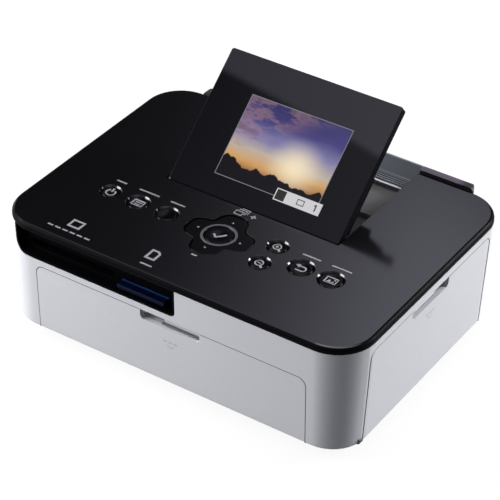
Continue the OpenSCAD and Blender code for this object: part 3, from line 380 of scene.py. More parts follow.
def boardFinish(name):
    # solder mask over tracks, with vias; the sockets behind the rear board are metal above and black below
    look = boardLook
    material, tree, shader, place = newMaterial(name)
    tracks = addNode(tree, "ShaderNodeTexBrick", offset=0.37, squash=1.6, squash_frequency=3)
    feedAll(tree, tracks, {"Vector": place, **look["tracks"]})
    spots = addNode(tree, "ShaderNodeTexVoronoi")
    feedAll(tree, spots, {"Vector": place, "Scale": look["viaScale"]})
    via = remap(tree, spots.outputs["Distance"], *look["viaEdge"])
    grain = useGrain(tree, place, 900.0, 0.1, 0.2)
    mask = shaded(tree, blendColour(tree, tracks.outputs["Fac"], look["mask"], look["track"]), grain["Shade"])
    _, y, z = axes(tree, place)
    socket = past(tree, y, look["socketsBehind"], look["soft"])
    metal = past(tree, z, look["metalFrom"], look["soft"])
    feedAll(tree, shader, {
        "Base Color": blendColour(tree, socket, blendColour(tree, via, mask, look["via"]),
                                  blendColour(tree, metal, look["socketBlack"], look["socketMetal"])),
        "Metallic": calc(tree, "MAXIMUM", times(tree, via, look["viaMetal"]), times(tree, socket, metal)),
        "Roughness": look["roughness"],
    })
    bump(tree, shader, tracks.outputs["Fac"], look["height"], lineDepth)
    return material


def colourSteps(tree, factor, stops, kind="LINEAR"):
    # a colour ramp through pairs of place and colour
    ramp = addNode(tree, "ShaderNodeValToRGB")
    feed(tree, ramp.inputs[0], factor)
    ramp.color_ramp.interpolation = kind
    first, last = ramp.color_ramp.elements[0], ramp.color_ramp.elements[1]
    first.position, first.color = stops[0][0], (*stops[0][1], 1)
    last.position, last.color = stops[-1][0], (*stops[-1][1], 1)
    for position, colour in stops[1:-1]:
        ramp.color_ramp.elements.new(position).color = (*colour, 1)
    return ramp.outputs[0]


ribbonLook = {
    "pitch": 0.018, "contrast": 0.25, "roughness": 0.28, "height": 0.05,
    "bands": [(0.0, (0.62, 0.45, 0.02)), (0.25, (0.42, 0.02, 0.16)), (0.5, (0.01, 0.22, 0.38)),
              (0.75, (0.20, 0.20, 0.19))],
}


def ribbonFinish(name):
    # thin film in bands of yellow, magenta, cyan and clear, wound on the spools
    material, tree, shader, place = newMaterial(name)
    _, y, z = axes(tree, place)
    along = calc(tree, "FRACT", calc(tree, "DIVIDE", plus(tree, y, z), ribbonLook["pitch"]))
    bands = colourSteps(tree, along, ribbonLook["bands"], "CONSTANT")
    turns = useEffect(tree, "drawn", place, Contrast=ribbonLook["contrast"])
    feedAll(tree, shader, {"Base Color": shaded(tree, bands, turns["Shade"]),
                           "Roughness": times(tree, turns["Shade"], ribbonLook["roughness"])})
    bump(tree, shader, turns["Height"], ribbonLook["height"], lineDepth)
    return material


cardLook = {
    "shell": (0.0006, 0.0024, 0.016, 1), "band": (0.012, 0.040, 0.140, 1), "bandFrom": -0.0632, "bandTo": -0.0612,
    "soft": 0.0012, "roughness": 0.34,
}


def cardFinish(name):
    # dark blue shell with a paler band near its free end
    look = cardLook
    material, tree, shader, place = newMaterial(name)
    y = axes(tree, place)[1]
    band = times(tree, past(tree, y, look["bandFrom"], look["soft"]),
                 before(tree, y, look["bandTo"], look["soft"]))
    grain = useGrain(tree, place, 1800.0, 0.12, 0.15)
    feedAll(tree, shader, {
        "Base Color": shaded(tree, blendColour(tree, band, look["shell"], look["band"]), grain["Shade"]),
        "Roughness": times(tree, grain["Shade"], look["roughness"]), "IOR": 1.3, "Specular IOR Level": 0.2,
    })
    bump(tree, shader, grain["Height"], 0.08)
    return material


rearLook = {
    "dark": (0.034, 0.033, 0.039, 1), "worn": (0.16, 0.165, 0.18, 1), "wear": 0.05, "soft": 0.0002,
    # satin: a blue-grey cover, painted lighter to make up for the display's shadow on it
    "satin": (0.250, 0.265, 0.300, 1), "satinHalf": 0.0443, "satinTo": 0.0655,
    # crown: a painted reflection in violet-grey along the top beside the display
    "crown": (0.115, 0.100, 0.128, 1), "crownHalf": (0.062, 0.0675), "crownTo": 0.0660, "crownAbove": 0.0598,
    "softBehind": 0.001, "roughness": (0.50, 0.44),
}


def rearFinish(name):
    # satin blue-grey behind the display, painted lighter to make up for the display's shadow; beside it a
    # violet-grey crown that is a painted reflection, fading out toward the ends; dark at the back and the ends
    look = rearLook
    material, tree, shader, place = newMaterial(name)
    grain = useGrain(tree, place, 2400.0, 0.12, 0.05)
    worn = useEffect(tree, "wear", place, Amount=look["wear"])["Mask"]
    x, y, z = axes(tree, place)
    side = calc(tree, "ABSOLUTE", x)
    satin = times(tree, before(tree, side, look["satinHalf"], look["soft"]),
                  before(tree, y, look["satinTo"], look["softBehind"]))
    crown = times(tree, past(tree, z, look["crownAbove"], look["soft"]),
                  remap(tree, side, *look["crownHalf"], 1.0, 0.0),
                  before(tree, y, look["crownTo"], look["softBehind"]))
    base = blendColour(tree, satin, blendColour(tree, crown, look["dark"], look["crown"]), look["satin"])
    feedAll(tree, shader, {
        "Base Color": blendColour(tree, worn, shaded(tree, base, grain["Shade"]), look["worn"]),
        "Roughness": remap(tree, satin, 0.0, 1.0, *look["roughness"]), "Specular IOR Level": 0.2,
    })
    bump(tree, shader, grain["Height"], 0.08)
    return material


finishes = {
    # moulded: name, colour, roughness, then the grain's scale, contrast, drift and height
    "casing": mouldedFinish("pearlCasing", (0.60, 0.61, 0.645), 0.40, 3200.0, 0.07, 0.02, 0.10,
                            worn=0.25, wornColour=(0.70, 0.70, 0.72), smudge=0.03),
    "panel": pianoFinish("pianoBlack"),
    "rear_grey": rearFinish("rearGrey"),
    "recess_black": mouldedFinish("recessBlack", (0.0016, 0.0016, 0.0022), 0.45, 2200.0, 0.20, 0.08, 0.20,
                                  ior=1.15, shine=0.08),
    "button_black": mouldedFinish("buttonBlack", (0.0020, 0.0020, 0.0026), 0.17, 1500.0, 0.05, 0.05, 0.0,
                                  smudge=0.02, ior=1.3, shine=0.3),
    "display_window": glassFinish("displayGloss"),
    "display_shell": mouldedFinish("displayShell", (0.0035, 0.0035, 0.0042), 0.38, 2400.0, 0.20, 0.05, 0.15,
                                   worn=0.1, wornColour=(0.02, 0.02, 0.022), ior=1.15, shine=0.05),
    "card_blue": cardFinish("cardBlue"),
    "marks": mouldedFinish("printedMark", (0.27, 0.27, 0.295), 0.4, 2400.0, 0.2, 0.1, 0.0),
    # white: paints a highlight along the rear edge of the display's bay
    "white": mouldedFinish("paintedHighlightStrip", (0.86, 0.86, 0.88), 0.35, 2400.0, 0.05, 0.02, 0.05),
    "label": mouldedFinish("labelFilm", (0.46, 0.46, 0.47), 0.3, 900.0, 0.04, 0.03, 0.0),
    "faint": mouldedFinish("faintMark", (0.42, 0.425, 0.45), 0.45, 2400.0, 0.1, 0.1, 0.0),
    "ring": mouldedFinish("ringGrey", (0.12, 0.12, 0.135), 0.34, 2600.0, 0.2, 0.05, 0.1, metallic=0.5),
    "rubber": mouldedFinish("rubber", (0.018, 0.018, 0.019), 0.78, 1400.0, 0.35, 0.15, 0.5),
    "steel": metalFinish("drawnSteel", (0.56, 0.57, 0.58), 0.26),
    "plated": metalFinish("platedSheet", (0.62, 0.61, 0.58), 0.36, 0.3, 0.08),
    "board_green": boardFinish("solderMask"),
    "gear_white": mouldedFinish("gearWhite", (0.66, 0.65, 0.58), 0.44, 1800.0, 0.06, 0.05, 0.1,
                                worn=0.3, wornColour=(0.45, 0.44, 0.40)),
    "black_plastic": mouldedFinish("blackPlastic", (0.016, 0.016, 0.018), 0.46, 1800.0, 0.3, 0.1, 0.3,
                                   worn=0.4, wornColour=(0.06, 0.06, 0.065)),
    "ribbon": ribbonFinish("inkFilm"),
    "ceramic": mouldedFinish("ceramic", (0.70, 0.66, 0.58), 0.3, 1200.0, 0.08, 0.05, 0.05),
    "lcd_cell": mouldedFinish("displayCell", (0.05, 0.055, 0.065), 0.2, 900.0, 0.1, 0.1, 0.0),
    "cable": mouldedFinish("flatCable", (0.36, 0.22, 0.07), 0.4, 600.0, 0.2, 0.1, 0.1),
}
print("finishes made:", len(finishes))


# camera, room and lamps

view = {"place": (0.4120, -0.6439, 0.5846), "azimuth": 32.81, "elevation": 35.68, "roll": 1.293, "lens": 155.8}


def placeCamera():
    camera = bpy.data.objects.new("camera", bpy.data.cameras.new("camera"))
    scene.collection.objects.link(camera)
    azimuth, elevation = math.radians(view["azimuth"]), math.radians(view["elevation"])
    back = Vector((math.sin(azimuth) * math.cos(elevation), -math.cos(azimuth) * math.cos(elevation),
                   math.sin(elevation)))
    camera.location = view["place"]
    camera.rotation_mode = "QUATERNION"
    camera.rotation_quaternion = (back.to_track_quat("Z", "Y")
                                  @ Quaternion((0, 0, 1), math.radians(view["roll"])))
    camera.data.lens = view["lens"]
    camera.data.clip_start, camera.data.clip_end = 0.01, 20.0
    scene.camera = camera


room = {
    "tint": (0.94, 0.94, 1.12, 1), "diffuse": 0.13,
    # a bright wall behind, seen in the top panel
    "behind": (0.10, 0.30), "wallEdge": (-0.50, -0.375), "wallPower": 2.3, "wallLevel": 1.1,
    "wallFade": (0.736, 0.752, 1.0, 0.35), "wallEnd": (-0.28, -0.12),
    # a low light at the left, seen in the rims of the key holes
    "leftAcross": (-0.80, -0.92), "leftUp": (0.30, 0.22), "leftAhead": (-0.20, -0.05), "leftLevel": 3.6,
    # a bright ceiling above a dark front, seen in the display
    "ceilingSlope": 0.387, "ceilingEdge": -0.586, "ceilingBlur": 0.002, "ceilingUp": (0.45, 0.60),
    "across": (-0.48, -0.40), "ceilingLevels": (0.49, 0.72), "frontLevels": (0.02, 0.23),
}


def makeRoom():
    # white to the camera, an even low light to dull faces, and walls and a ceiling to gloss
    world = bpy.data.worlds.new("room")
    scene.world = world
    world.use_nodes = True
    tree = world.node_tree
    tree.nodes.clear()
    x, y, z = axes(tree, addNode(tree, "ShaderNodeTexCoord").outputs["Generated"])
    wall = times(tree, calc(tree, "POWER", remap(tree, x, *room["wallEdge"], smooth=False), room["wallPower"]),
                 remap(tree, x, *room["wallEnd"], room["wallLevel"], 0.0), remap(tree, y, *room["wallFade"]))
    slope = plus(tree, y, times(tree, x, room["ceilingSlope"]))
    edge, blur = room["ceilingEdge"], room["ceilingBlur"]
    ceiling = times(tree, remap(tree, slope, edge - blur, edge + blur), remap(tree, z, *room["ceilingUp"]))
    front = blend(tree, ceiling, remap(tree, x, *room["across"], *room["frontLevels"], False),
                  remap(tree, x, *room["across"], *room["ceilingLevels"], False))
    left = times(tree, remap(tree, x, *room["leftAcross"]), remap(tree, z, *room["leftUp"]),
                 remap(tree, y, *room["leftAhead"]), room["leftLevel"])
    seen = plus(tree, blend(tree, remap(tree, y, *room["behind"]), front, wall), left)
    path = addNode(tree, "ShaderNodeLightPath").outputs
    level = blend(tree, calc(tree, "MAXIMUM", path["Is Glossy Ray"], path["Is Transmission Ray"]),
                  room["diffuse"], seen)
    background = addNode(tree, "ShaderNodeBackground")
    feedAll(tree, background, {"Color": blendColour(tree, path["Is Camera Ray"], room["tint"], grey(1.0)),
                               "Strength": blend(tree, path["Is Camera Ray"], level, 1.0)})
    feed(tree, addNode(tree, "ShaderNodeOutputWorld").inputs[0], background.outputs[0])


lamps = {
    "key": {"place": (-0.52, -0.34, 0.28), "watts": 7.3, "size": 0.45},
    "side": {"place": (0.50, 0.55, 0.30), "watts": 8.5, "size": 0.36},
    "top": {"place": (0.0, 0.1, 1.9), "watts": 12.0, "size": 1.4},
}
lampsAim = (0.0, 0.0, 0.03)


def makeLamps():
    for name, lamp in lamps.items():
        data = bpy.data.lights.new(name, "AREA")
        data.energy, data.size = lamp["watts"], lamp["size"]
        holder = bpy.data.objects.new(name, data)
        holder.location = lamp["place"]
        holder.rotation_euler = (Vector(lampsAim) - holder.location).to_track_quat("-Z", "Y").to_euler()
        scene.collection.objects.link(holder)


floor = {"half": 6.0, "base": 0.10, "glow": 0.90, "roughness": 0.9}


def makeFloor():
    bm = bmesh.new()
    bmesh.ops.create_grid(bm, x_segments=1, y_segments=1, size=floor["half"])
    mesh = bpy.data.meshes.new("floor")
    bm.to_mesh(mesh)
    bm.free()
    plane = bpy.data.objects.new("floor", mesh)
    scene.collection.objects.link(plane)
    material, tree, shader, _ = newMaterial("paleFloor")
    path = addNode(tree, "ShaderNodeLightPath").outputs
    shown = calc(tree, "MAXIMUM", path["Is Camera Ray"],
                 calc(tree, "MAXIMUM", path["Is Glossy Ray"], path["Is Transmission Ray"]))
    feedAll(tree, shader, {
        "Emission Color": blendColour(tree, shown, grey(0.0), grey(floor["glow"])), "Emission Strength": 1.0,
        "Base Color": grey(floor["base"]), "Roughness": floor["roughness"], "Specular IOR Level": 0.0,
    })
    mesh.materials.append(material)


scene.view_settings.view_transform = "Standard"
placeCamera()
makeRoom()
makeLamps()
makeFloor()
print("camera, room and lamps placed")


# pieces

def addPiece(bm, name, node, finish, smooth):
    # an object of the finished mesh, riding on the body of the node it belongs to
    mesh = bpy.data.meshes.new(name)
    bm.to_mesh(mesh)
    bm.free()
    mesh.shade_smooth()
    mesh.set_sharp_from_angle(angle=math.radians(smooth))
    piece = bpy.data.objects.new(name, mesh)
    scene.collection.objects.link(piece)
    mesh.materials.append(finishes[finish])
    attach(piece, nodes[node]["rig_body"])
    return piece


def newPiece(bm, name, node, finish, smooth=30.0):
    # scales a drawn shape to metres and points its faces outwards
    bmesh.ops.scale(bm, vec=(mm, mm, mm), verts=bm.verts)
    bmesh.ops.recalc_face_normals(bm, faces=bm.faces)
    return addPiece(bm, name, node, finish, smooth)


def roundOff(bm, parts, offset, segments, affect="EDGES"):
    bmesh.ops.bevel(bm, geom=parts, offset=offset, segments=segments, profile=0.5, affect=affect, material=-1)


softened = {"segments": 2, "sharper": 32.0}


def softenEdges(piece, width):
    if width:
        rounded = piece.modifiers.new("softEdges", "BEVEL")
        rounded.width, rounded.segments = width * mm, softened["segments"]
        rounded.limit_method, rounded.angle_limit = "ANGLE", math.radians(softened["sharper"])
        rounded.use_clamp_overlap = True
        rounded.harden_normals = True
    even = piece.modifiers.new("evenShading", "WEIGHTED_NORMAL")
    even.keep_sharp = True


keyTop = {"deep": 0.3, "steep": 0.5, "segments": 5}


def roundTop(bm, width):
    # a wide rounding along the outer edge of a key's top
    top = max(v.co.z for v in bm.verts)
    rim = [e for e in bm.edges if len(e.link_faces) == 2
           and min(v.co.z for v in e.verts) > top - keyTop["deep"] * mm
           and min(abs(f.normal.z) for f in e.link_faces) < keyTop["steep"]]
    roundOff(bm, rim, width * mm, keyTop["segments"])


feet = {
    # node: level of the wall's lower edge, and how far it is carried down
    "levels": {"lower_case": (5.3, 0.0), "paper_door": (6.6, 1.2), "ink_door": (6.6, 1.2)},
    "near": 0.02, "flat": 0.9, "out": 20.0, "rounding": 1.5, "segments": 4,
}


def roundFoot(bm, level, drop):
    # carries a wall's lower edge down and rounds its outer side
    low = [v for v in bm.verts if abs(v.co.z - level * mm) < feet["near"] * mm]
    bmesh.ops.translate(bm, vec=(0, 0, -drop * mm), verts=low)
    bm.normal_update()
    kept = set(low)
    outer = []
    for edge in bm.edges:
        if len(edge.link_faces) == 2 and kept.issuperset(edge.verts) and edge.is_convex:
            down, wall = sorted(edge.link_faces, key=lambda f: f.normal.z)
            middle = (edge.verts[0].co + edge.verts[1].co) / 2
            if down.normal.z < -feet["flat"] and wall.normal.xy.dot(middle.xy) > feet["out"] * mm:
                outer.append(edge)
    roundOff(bm, outer, feet["rounding"] * mm, feet["segments"])


shells = {
    # node: slot, name, softening of the edges, rounding of the top
    "lower_case": ("casing", "lowerCasing", 0.25, 0.0),
    "top_cover": ("panel", "topPanel", 0.25, 0.0),
    "rear_cover": ("rear_grey", "rearHousing", 0.25, 0.0),
    "paper_door": ("casing", "paperDoorSkin", 0.2, 0.0),
    "ink_door": ("casing", "inkDoorSkin", 0.2, 0.0),
    "card_bezel": ("recess_black", "cardRecess", 0.15, 0.0),
    "memory_card": ("card_blue", "memoryCardShell", 0.15, 0.0),
    "lcd_window": ("display_window", "displayGlass", 0.2, 0.0),
    "lcd_back_shell": ("display_shell", "displayBack", 0.25, 0.0),
    "nav_pad": ("button_black", "navigationPad", 0.15, 0.7),
    **{f"{key}_button": ("button_black", f"{name}Key", 0.12, 0.9) for key, name in (
        ("power", "power"), ("menu", "menu"), ("edit", "edit"), ("zoom_in", "closer"), ("zoom_out", "wider"),
        ("back", "back"), ("print", "print"))},
    "ok_button": ("button_black", "confirmKey", 0.12, 0.5),
    "rubber_feet": ("rubber", "footPads", 0.3, 0.0),
}
merged = {"within": 2e-6, "flatter": 0.6, "smooth": 32.0}


def dressShells():
    # merged copies of the frame's solids, with softened edges
    for node, (slot, name, edge, rounding) in shells.items():
        bm = bmesh.new()
        bm.from_mesh(nodes[node].data)
        bmesh.ops.remove_doubles(bm, verts=bm.verts, dist=merged["within"])
        bmesh.ops.dissolve_limit(bm, angle_limit=math.radians(merged["flatter"]), verts=bm.verts, edges=bm.edges)
        if rounding:
            roundTop(bm, rounding)
        if node in feet["levels"]:
            roundFoot(bm, *feet["levels"][node])
        piece = addPiece(bm, name, node, slot, merged["smooth"])
        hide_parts(node)
        softenEdges(piece, edge)


repainted = {"cf_socket": "recess_black"}


def paintSolids():
    # the solids that keep their own mesh take the finish of their slot, which their first material is named after
    for name, solid in nodes.items():
        slot = solid.data.materials[0].name.split(".")[0]
        solid.data.materials.clear()
        solid.data.materials.append(finishes[repainted.get(name, slot)])


dressShells()
paintSolids()
print("shells dressed")


# flat shapes drawn around a middle at z = 0

def addPlate(bm, middle, width, height, cells=1, **settings):
    place = Matrix.Translation((*middle, 0.0)) @ Matrix.Diagonal((width, height, 1.0, 1.0))
    made = bmesh.ops.create_grid(bm, x_segments=cells, y_segments=cells, size=0.5, matrix=place, **settings)
    return made["verts"]


def strokeArc(bm, middle, radius, width, start, sweep, steps=14):
    # a short line across the stroke, spun about the arc's middle
    middle = Vector((*middle, 0.0))
    way = Vector((math.cos(math.radians(start)), math.sin(math.radians(start)), 0.0))
    ends = [bm.verts.new(middle + way * (radius + side * width / 2)) for side in (-1, 1)]
    edge = bm.edges.new(ends)
    bmesh.ops.spin(bm, geom=[*ends, edge], cent=middle, axis=(0, 0, 1), angle=math.radians(sweep),
                   steps=steps, use_merge=abs(sweep) > 359.9)


def strokeBar(bm, a, b, width, steps=3):
    # a short line across the stroke, pulled along it
    a, b = Vector((*a, 0.0)), Vector((*b, 0.0))
    across = (b - a).cross(Vector((0, 0, 1))).normalized() * width / 2
    edge = bm.edges.new([bm.verts.new(a - across), bm.verts.new(a + across)])
    for _ in range(steps):
        pulled = bmesh.ops.extrude_edge_only(bm, edges=[edge])["geom"]
        edge = next(part for part in pulled if isinstance(part, bmesh.types.BMEdge))
        bmesh.ops.translate(bm, vec=(b - a) / steps, verts=edge.verts[:])


def strokeBox(bm, middle, width, height, line, cut=0.0):
    # a rectangle's outline, from a plate whose middle is taken out; one corner may be cut off
    plate = addPlate(bm, middle, width, height)
    face = next(f for f in bm.faces if set(f.verts) == set(plate))
    if cut:
        corner = max(plate, key=lambda v: v.co.x + v.co.y)
        kept = next(v for v in plate if v is not corner)
        roundOff(bm, [corner], cut, 1, "VERTICES")
        face = kept.link_faces[0]
    bmesh.ops.inset_region(bm, faces=[face], thickness=line, use_even_offset=True, use_boundary=True)
    bmesh.ops.delete(bm, geom=[face], context="FACES_ONLY")


def fillPlate(bm, middle, width, height):
    addPlate(bm, middle, width, height, 2)


def fillTriangle(bm, middle, radius, pointing):
    bmesh.ops.create_circle(bm, segments=3, radius=radius, cap_ends=True,
                            matrix=Matrix.Translation((*middle, 0.0))
                            @ Matrix.Rotation(math.radians(pointing - 90), 4, "Z"))


def fillDisc(bm, middle, radius):
    bmesh.ops.create_circle(bm, segments=14, radius=radius, cap_ends=True,
                            matrix=Matrix.Translation((*middle, 0.0)))


strokes = {"arc": strokeArc, "bar": strokeBar, "box": strokeBox,
           "plate": fillPlate, "triangle": fillTriangle, "disc": fillDisc}


def draw(bm, sign, place=(0.0, 0.0)):
    # a sign is a list of strokes, each with its own values in the order of its function
    drawn = set(bm.verts)
    for kind, *values in sign:
        strokes[kind](bm, *values)
    bmesh.ops.translate(bm, vec=(*place, 0.0), verts=[v for v in bm.verts if v not in drawn])


printed = {"thick": 0.10, "proud": 0.04}


def thicken(bm, thick=printed["thick"]):
    # leaves the shape standing a little proud of z = 0
    bmesh.ops.solidify(bm, geom=bm.faces[:], thickness=thick)
    lowest = min(v.co.z for v in bm.verts)
    bmesh.ops.translate(bm, vec=(0, 0, printed["proud"] - thick - lowest), verts=bm.verts)


# the case: dark strips that paint shade in the seams of its doors, fittings, and marks on the doors

case = {"front": -68.0, "side": 89.0, "rim": 56.5, "foot": 5.3, "draft": 2.0}


def wallIn(z):
    # how far the leaning walls stand in at height z
    return case["draft"] * (case["rim"] - z) / (case["rim"] - case["foot"])


def layOnWall(bm, wall, deep=0.0):
    # takes a shape drawn flat, x along the wall and y up it, to the front or the right wall
    for v in bm.verts:
        along, up, out = v.co
        if wall == "front":
            v.co = (along, case["front"] + wallIn(up) + deep - out, up)
        else:
            v.co = (case["side"] - wallIn(up) - deep + out, along, up)


seamShade = {
    # name: wall, left, right and top of the dark strip's outer edge, and the notch it leaves out
    "doors": {"paperDoorSeamShade": ("front", -68.34, 68.34, 39.74, (-14.0, 17.0)),
              "inkDoorSeamShade": ("side", -51.84, 46.84, 52.74, (-19.8, 11.2))},
    "low": 5.6, "line": 0.33, "corner": 4.0, "segments": 6, "deep": 0.06, "thick": 0.5,
}


def makeSeamShades():
    # painted shade: a dark strip in the gap round each door that darkens the seam, left out along the foot and
    # across the finger notch
    low, line = seamShade["low"], seamShade["line"]
    for name, (wall, left, right, top, notch) in seamShade["doors"].items():
        bm = bmesh.new()
        middle = (low + top) / 2
        plate = addPlate(bm, ((left + right) / 2, middle), right - left, top - low)
        roundOff(bm, [v for v in plate if v.co.y > middle], seamShade["corner"], seamShade["segments"], "VERTICES")
        inner = bm.faces[:][0]
        bmesh.ops.inset_region(bm, faces=[inner], thickness=line, use_even_offset=True, use_boundary=True)
        bmesh.ops.delete(bm, geom=[inner], context="FACES_ONLY")
        for cut in notch:
            bmesh.ops.bisect_plane(bm, geom=bm.verts[:] + bm.edges[:] + bm.faces[:], plane_co=(cut, 0, 0),
                                   plane_no=(1, 0, 0))
        unwanted = []
        for face in bm.faces:
            x, y, _ = face.calc_center_median()
            if y < low + line or notch[0] < x < notch[1]:
                unwanted.append(face)
        bmesh.ops.delete(bm, geom=unwanted, context="FACES")
        thicken(bm, seamShade["thick"])
        layOnWall(bm, wall, seamShade["deep"])
        newPiece(bm, name, "lower_case", "rubber")


def addBlock(bm, middle, size):
    bmesh.ops.create_cube(bm, size=1.0, matrix=Matrix.Translation(middle) @ Matrix.Diagonal((*size, 1.0)))


boxes = {
    # name: node it belongs to, finish, low corner, high corner, softening of the edges
    # painted shade: dark strips along the lower edge of each finger notch
    "frontNotchShade": ("lower_case", "ring", (-3.6, -65.8, 34.9), (15.6, -64.4, 35.7), 0.3),
    "sideNotchShade": ("lower_case", "ring", (86.2, -19.0, 49.2), (87.4, 1.6, 49.9), 0.3),
    # painted highlight: a white strip along the rear edge of the display's bay
    "bayEdgeHighlight": ("top_cover", "white", (-43.2, 51.4, 55.12), (43.2, 52.6, 55.38), 0.1),
    "bayGroove": ("top_cover", "recess_black", (-43.2, 52.62, 55.12), (43.2, 52.98, 55.34), 0.0),
    "rearSealRight": ("top_cover", "rubber", (44.8, 62.53, 57.6), (70.9, 62.77, 59.2), 0.0),
    "rearSealLeft": ("top_cover", "rubber", (-70.9, 62.53, 57.6), (-44.8, 62.77, 59.2), 0.0),
    "ratingLabel": ("lower_case", "label", (-34.0, -22.0, 1.42), (6.0, 2.0, 1.56), 0.0),
    "mainChip": ("main_board", "black_plastic", (10.0, -50.0, 43.0), (24.0, -36.0, 44.6), 0.15),
    "memoryChip": ("main_board", "black_plastic", (12.0, -33.0, 43.0), (22.0, -26.0, 44.2), 0.12),
    "powerChip": ("main_board", "black_plastic", (28.0, -44.0, 43.0), (34.0, -39.0, 44.5), 0.12),
    "keyChip": ("control_board", "black_plastic", (46.0, -45.0, 50.1), (56.0, -35.0, 51.4), 0.12),
    "driverChip": ("io_board", "black_plastic", (65.0, 50.1, 20.0), (73.0, 51.5, 28.0), 0.12),
}


def makeBoxes():
    # dark strips that paint shade in the finger notches, a white strip that paints a highlight along the bay's
    # rear edge, other strips, a blank rating label and the larger chips
    for name, (node, finish, low, high, edge) in boxes.items():
        low, high = Vector(low), Vector(high)
        bm = bmesh.new()
        addBlock(bm, (low + high) / 2, high - low)
        softenEdges(newPiece(bm, name, node, finish), edge)


rows = {
    # name: node it belongs to, first middle, step, how many, size
    "mainBoardPins": ("main_board", (9.2, -49.4, 43.1), (0.0, 1.0, 0.0), 13, (1.2, 0.45, 0.2)),
    "mainBoardPinsRight": ("main_board", (24.8, -49.4, 43.1), (0.0, 1.0, 0.0), 13, (1.2, 0.45, 0.2)),
    "memoryPins": ("main_board", (12.6, -25.5, 43.1), (1.1, 0.0, 0.0), 9, (0.45, 1.0, 0.2)),
    "mainBoardParts": ("main_board", (28.0, -52.0, 43.3), (0.0, 2.2, 0.0), 3, (1.6, 0.9, 0.6)),
    "powerParts": ("main_board", (27.6, -35.4, 43.3), (2.4, 0.0, 0.0), 4, (1.0, 1.8, 0.6)),
    "keyChipPins": ("control_board", (46.6, -34.6, 51.3), (1.1, 0.0, 0.0), 9, (0.45, 0.9, 0.2)),
    "ioPins": ("io_board", (65.6, 51.35, 28.6), (1.1, 0.0, 0.0), 7, (0.45, 0.3, 1.0)),
}


def makeRows():
    # rows of pins and small parts, copied along a line
    for name, (node, first, step, count, size) in rows.items():
        bm = bmesh.new()
        for number in range(count):
            addBlock(bm, Vector(first) + Vector(step) * number, size)
        newPiece(bm, name, node, "plated")


wallMarks = {
    # name: node, wall, place on the wall
    "paperDoorMark": ("paper_door", "front", (1.6, 26.8)),
    "inkDoorMark": ("ink_door", "side", (-3.4, 41.2)),
}
# three bars in a row over a chevron
doorSign = [("bar", (-3.6, 1.4), (-1.6, 1.4), 0.7, 1), ("bar", (-1.0, 1.4), (1.0, 1.4), 0.7, 1),
            ("bar", (1.6, 1.4), (3.6, 1.4), 0.7, 1),
            ("bar", (-1.8, -0.3), (0, -1.6), 0.5, 1), ("bar", (0, -1.6), (1.8, -0.3), 0.5, 1)]


def makeWallMarks():
    for name, (node, wall, place) in wallMarks.items():
        bm = bmesh.new()
        draw(bm, doorSign, place)
        thicken(bm)
        layOnWall(bm, wall)
        newPiece(bm, name, node, "faint")


lug = {"middle": (85.9, -53.4, 7.1), "radius": 1.5, "length": 2.4, "segments": 28, "edge": 0.25}


def makeLug():
    # the end of the ink door's hinge, beside the front corner
    bm = bmesh.new()
    bmesh.ops.create_cone(bm, cap_ends=True, segments=lug["segments"], radius1=lug["radius"],
                          radius2=lug["radius"], depth=lug["length"],
                          matrix=Matrix.Translation(lug["middle"]) @ Matrix.Rotation(math.radians(90), 4, "X"))
    softenEdges(newPiece(bm, "hingeLug", "lower_case", "black_plastic"), lug["edge"])


makeSeamShades()
makeBoxes()
makeRows()
makeWallMarks()
makeLug()
print("fittings added")


# signs on the keys, and marks printed on the panel

def topOf(node):
    # the middle of a node's top and half its width
    low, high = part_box(node)
    low, high = low / mm, high / mm
    return Vector(((low.x + high.x) / 2, (low.y + high.y) / 2, high.z)), (high.x - low.x) / 2


def layInDish(bm, node, depth):
    # takes a sign into the hollow of a key's top, which is as wide as the key
    middle, radius = topOf(node)
    rise = 3 * radius
    ball = rise + depth
    for v in bm.verts:
        away = v.co.xy.length
        hollow = rise - math.sqrt(max(ball * ball - away * away, 0.0))
        v.co += Vector((middle.x, middle.y, middle.z + min(0.0, hollow)))


lens = [("arc", (-0.6, 0.6), 1.75, 0.62, 0, 360, 24), ("bar", (0.75, -0.75), (2.3, -2.3), 0.9),
        ("bar", (-1.45, 0.6), (0.25, 0.6), 0.5)]
keySigns = {
    # node: name, depth of the key's dish, sign
    "power_button": ("powerMark", 0.5, [
        ("arc", (0, 0), 2.1, 0.8, 122, 296, 20), ("bar", (0, 0.6), (0, 2.9), 0.8)]),
    "menu_button": ("menuMark", 0.5, [
        ("box", (0, 0), 5.8, 4.4, 0.6), ("bar", (-1.7, -0.75), (1.7, -0.75), 0.65),
        ("bar", (-1.7, 0.75), (1.7, 0.75), 0.65)]),
    "zoom_in_button": ("closerMark", 0.5, [
        *lens, ("bar", (-0.6, -0.25), (-0.6, 0.35), 0.5, 1), ("bar", (-0.6, 0.85), (-0.6, 1.45), 0.5, 1)]),
    "zoom_out_button": ("widerMark", 0.5, lens),
    "back_button": ("backMark", 0.5, [
        ("bar", (-1.3, 1.5), (0.7, 1.5), 0.7), ("arc", (0.7, 0.0), 1.5, 0.7, 90, -180),
        ("bar", (0.7, -1.5), (-2.0, -1.5), 0.7), ("triangle", (-2.0, 1.5), 1.3, 180)]),
    "print_button": ("printMark", 0.5, [
        ("box", (0, 0.1), 5.6, 4.2, 0.5), ("triangle", (-0.8, -0.45), 1.25, 90),
        ("triangle", (1.0, -0.6), 0.95, 90), ("disc", (1.35, 1.05), 0.45)]),
    "ok_button": ("confirmMark", 0.4, [
        ("bar", (-2.7, 0.2), (-0.75, -1.75), 1.0), ("bar", (-1.08, -1.72), (2.9, 2.26), 1.0)]),
}


def makeKeySigns():
    for node, (name, depth, sign) in keySigns.items():
        bm = bmesh.new()
        draw(bm, sign)
        thicken(bm)
        layInDish(bm, node, depth)
        newPiece(bm, name, node, "marks", 40.0)


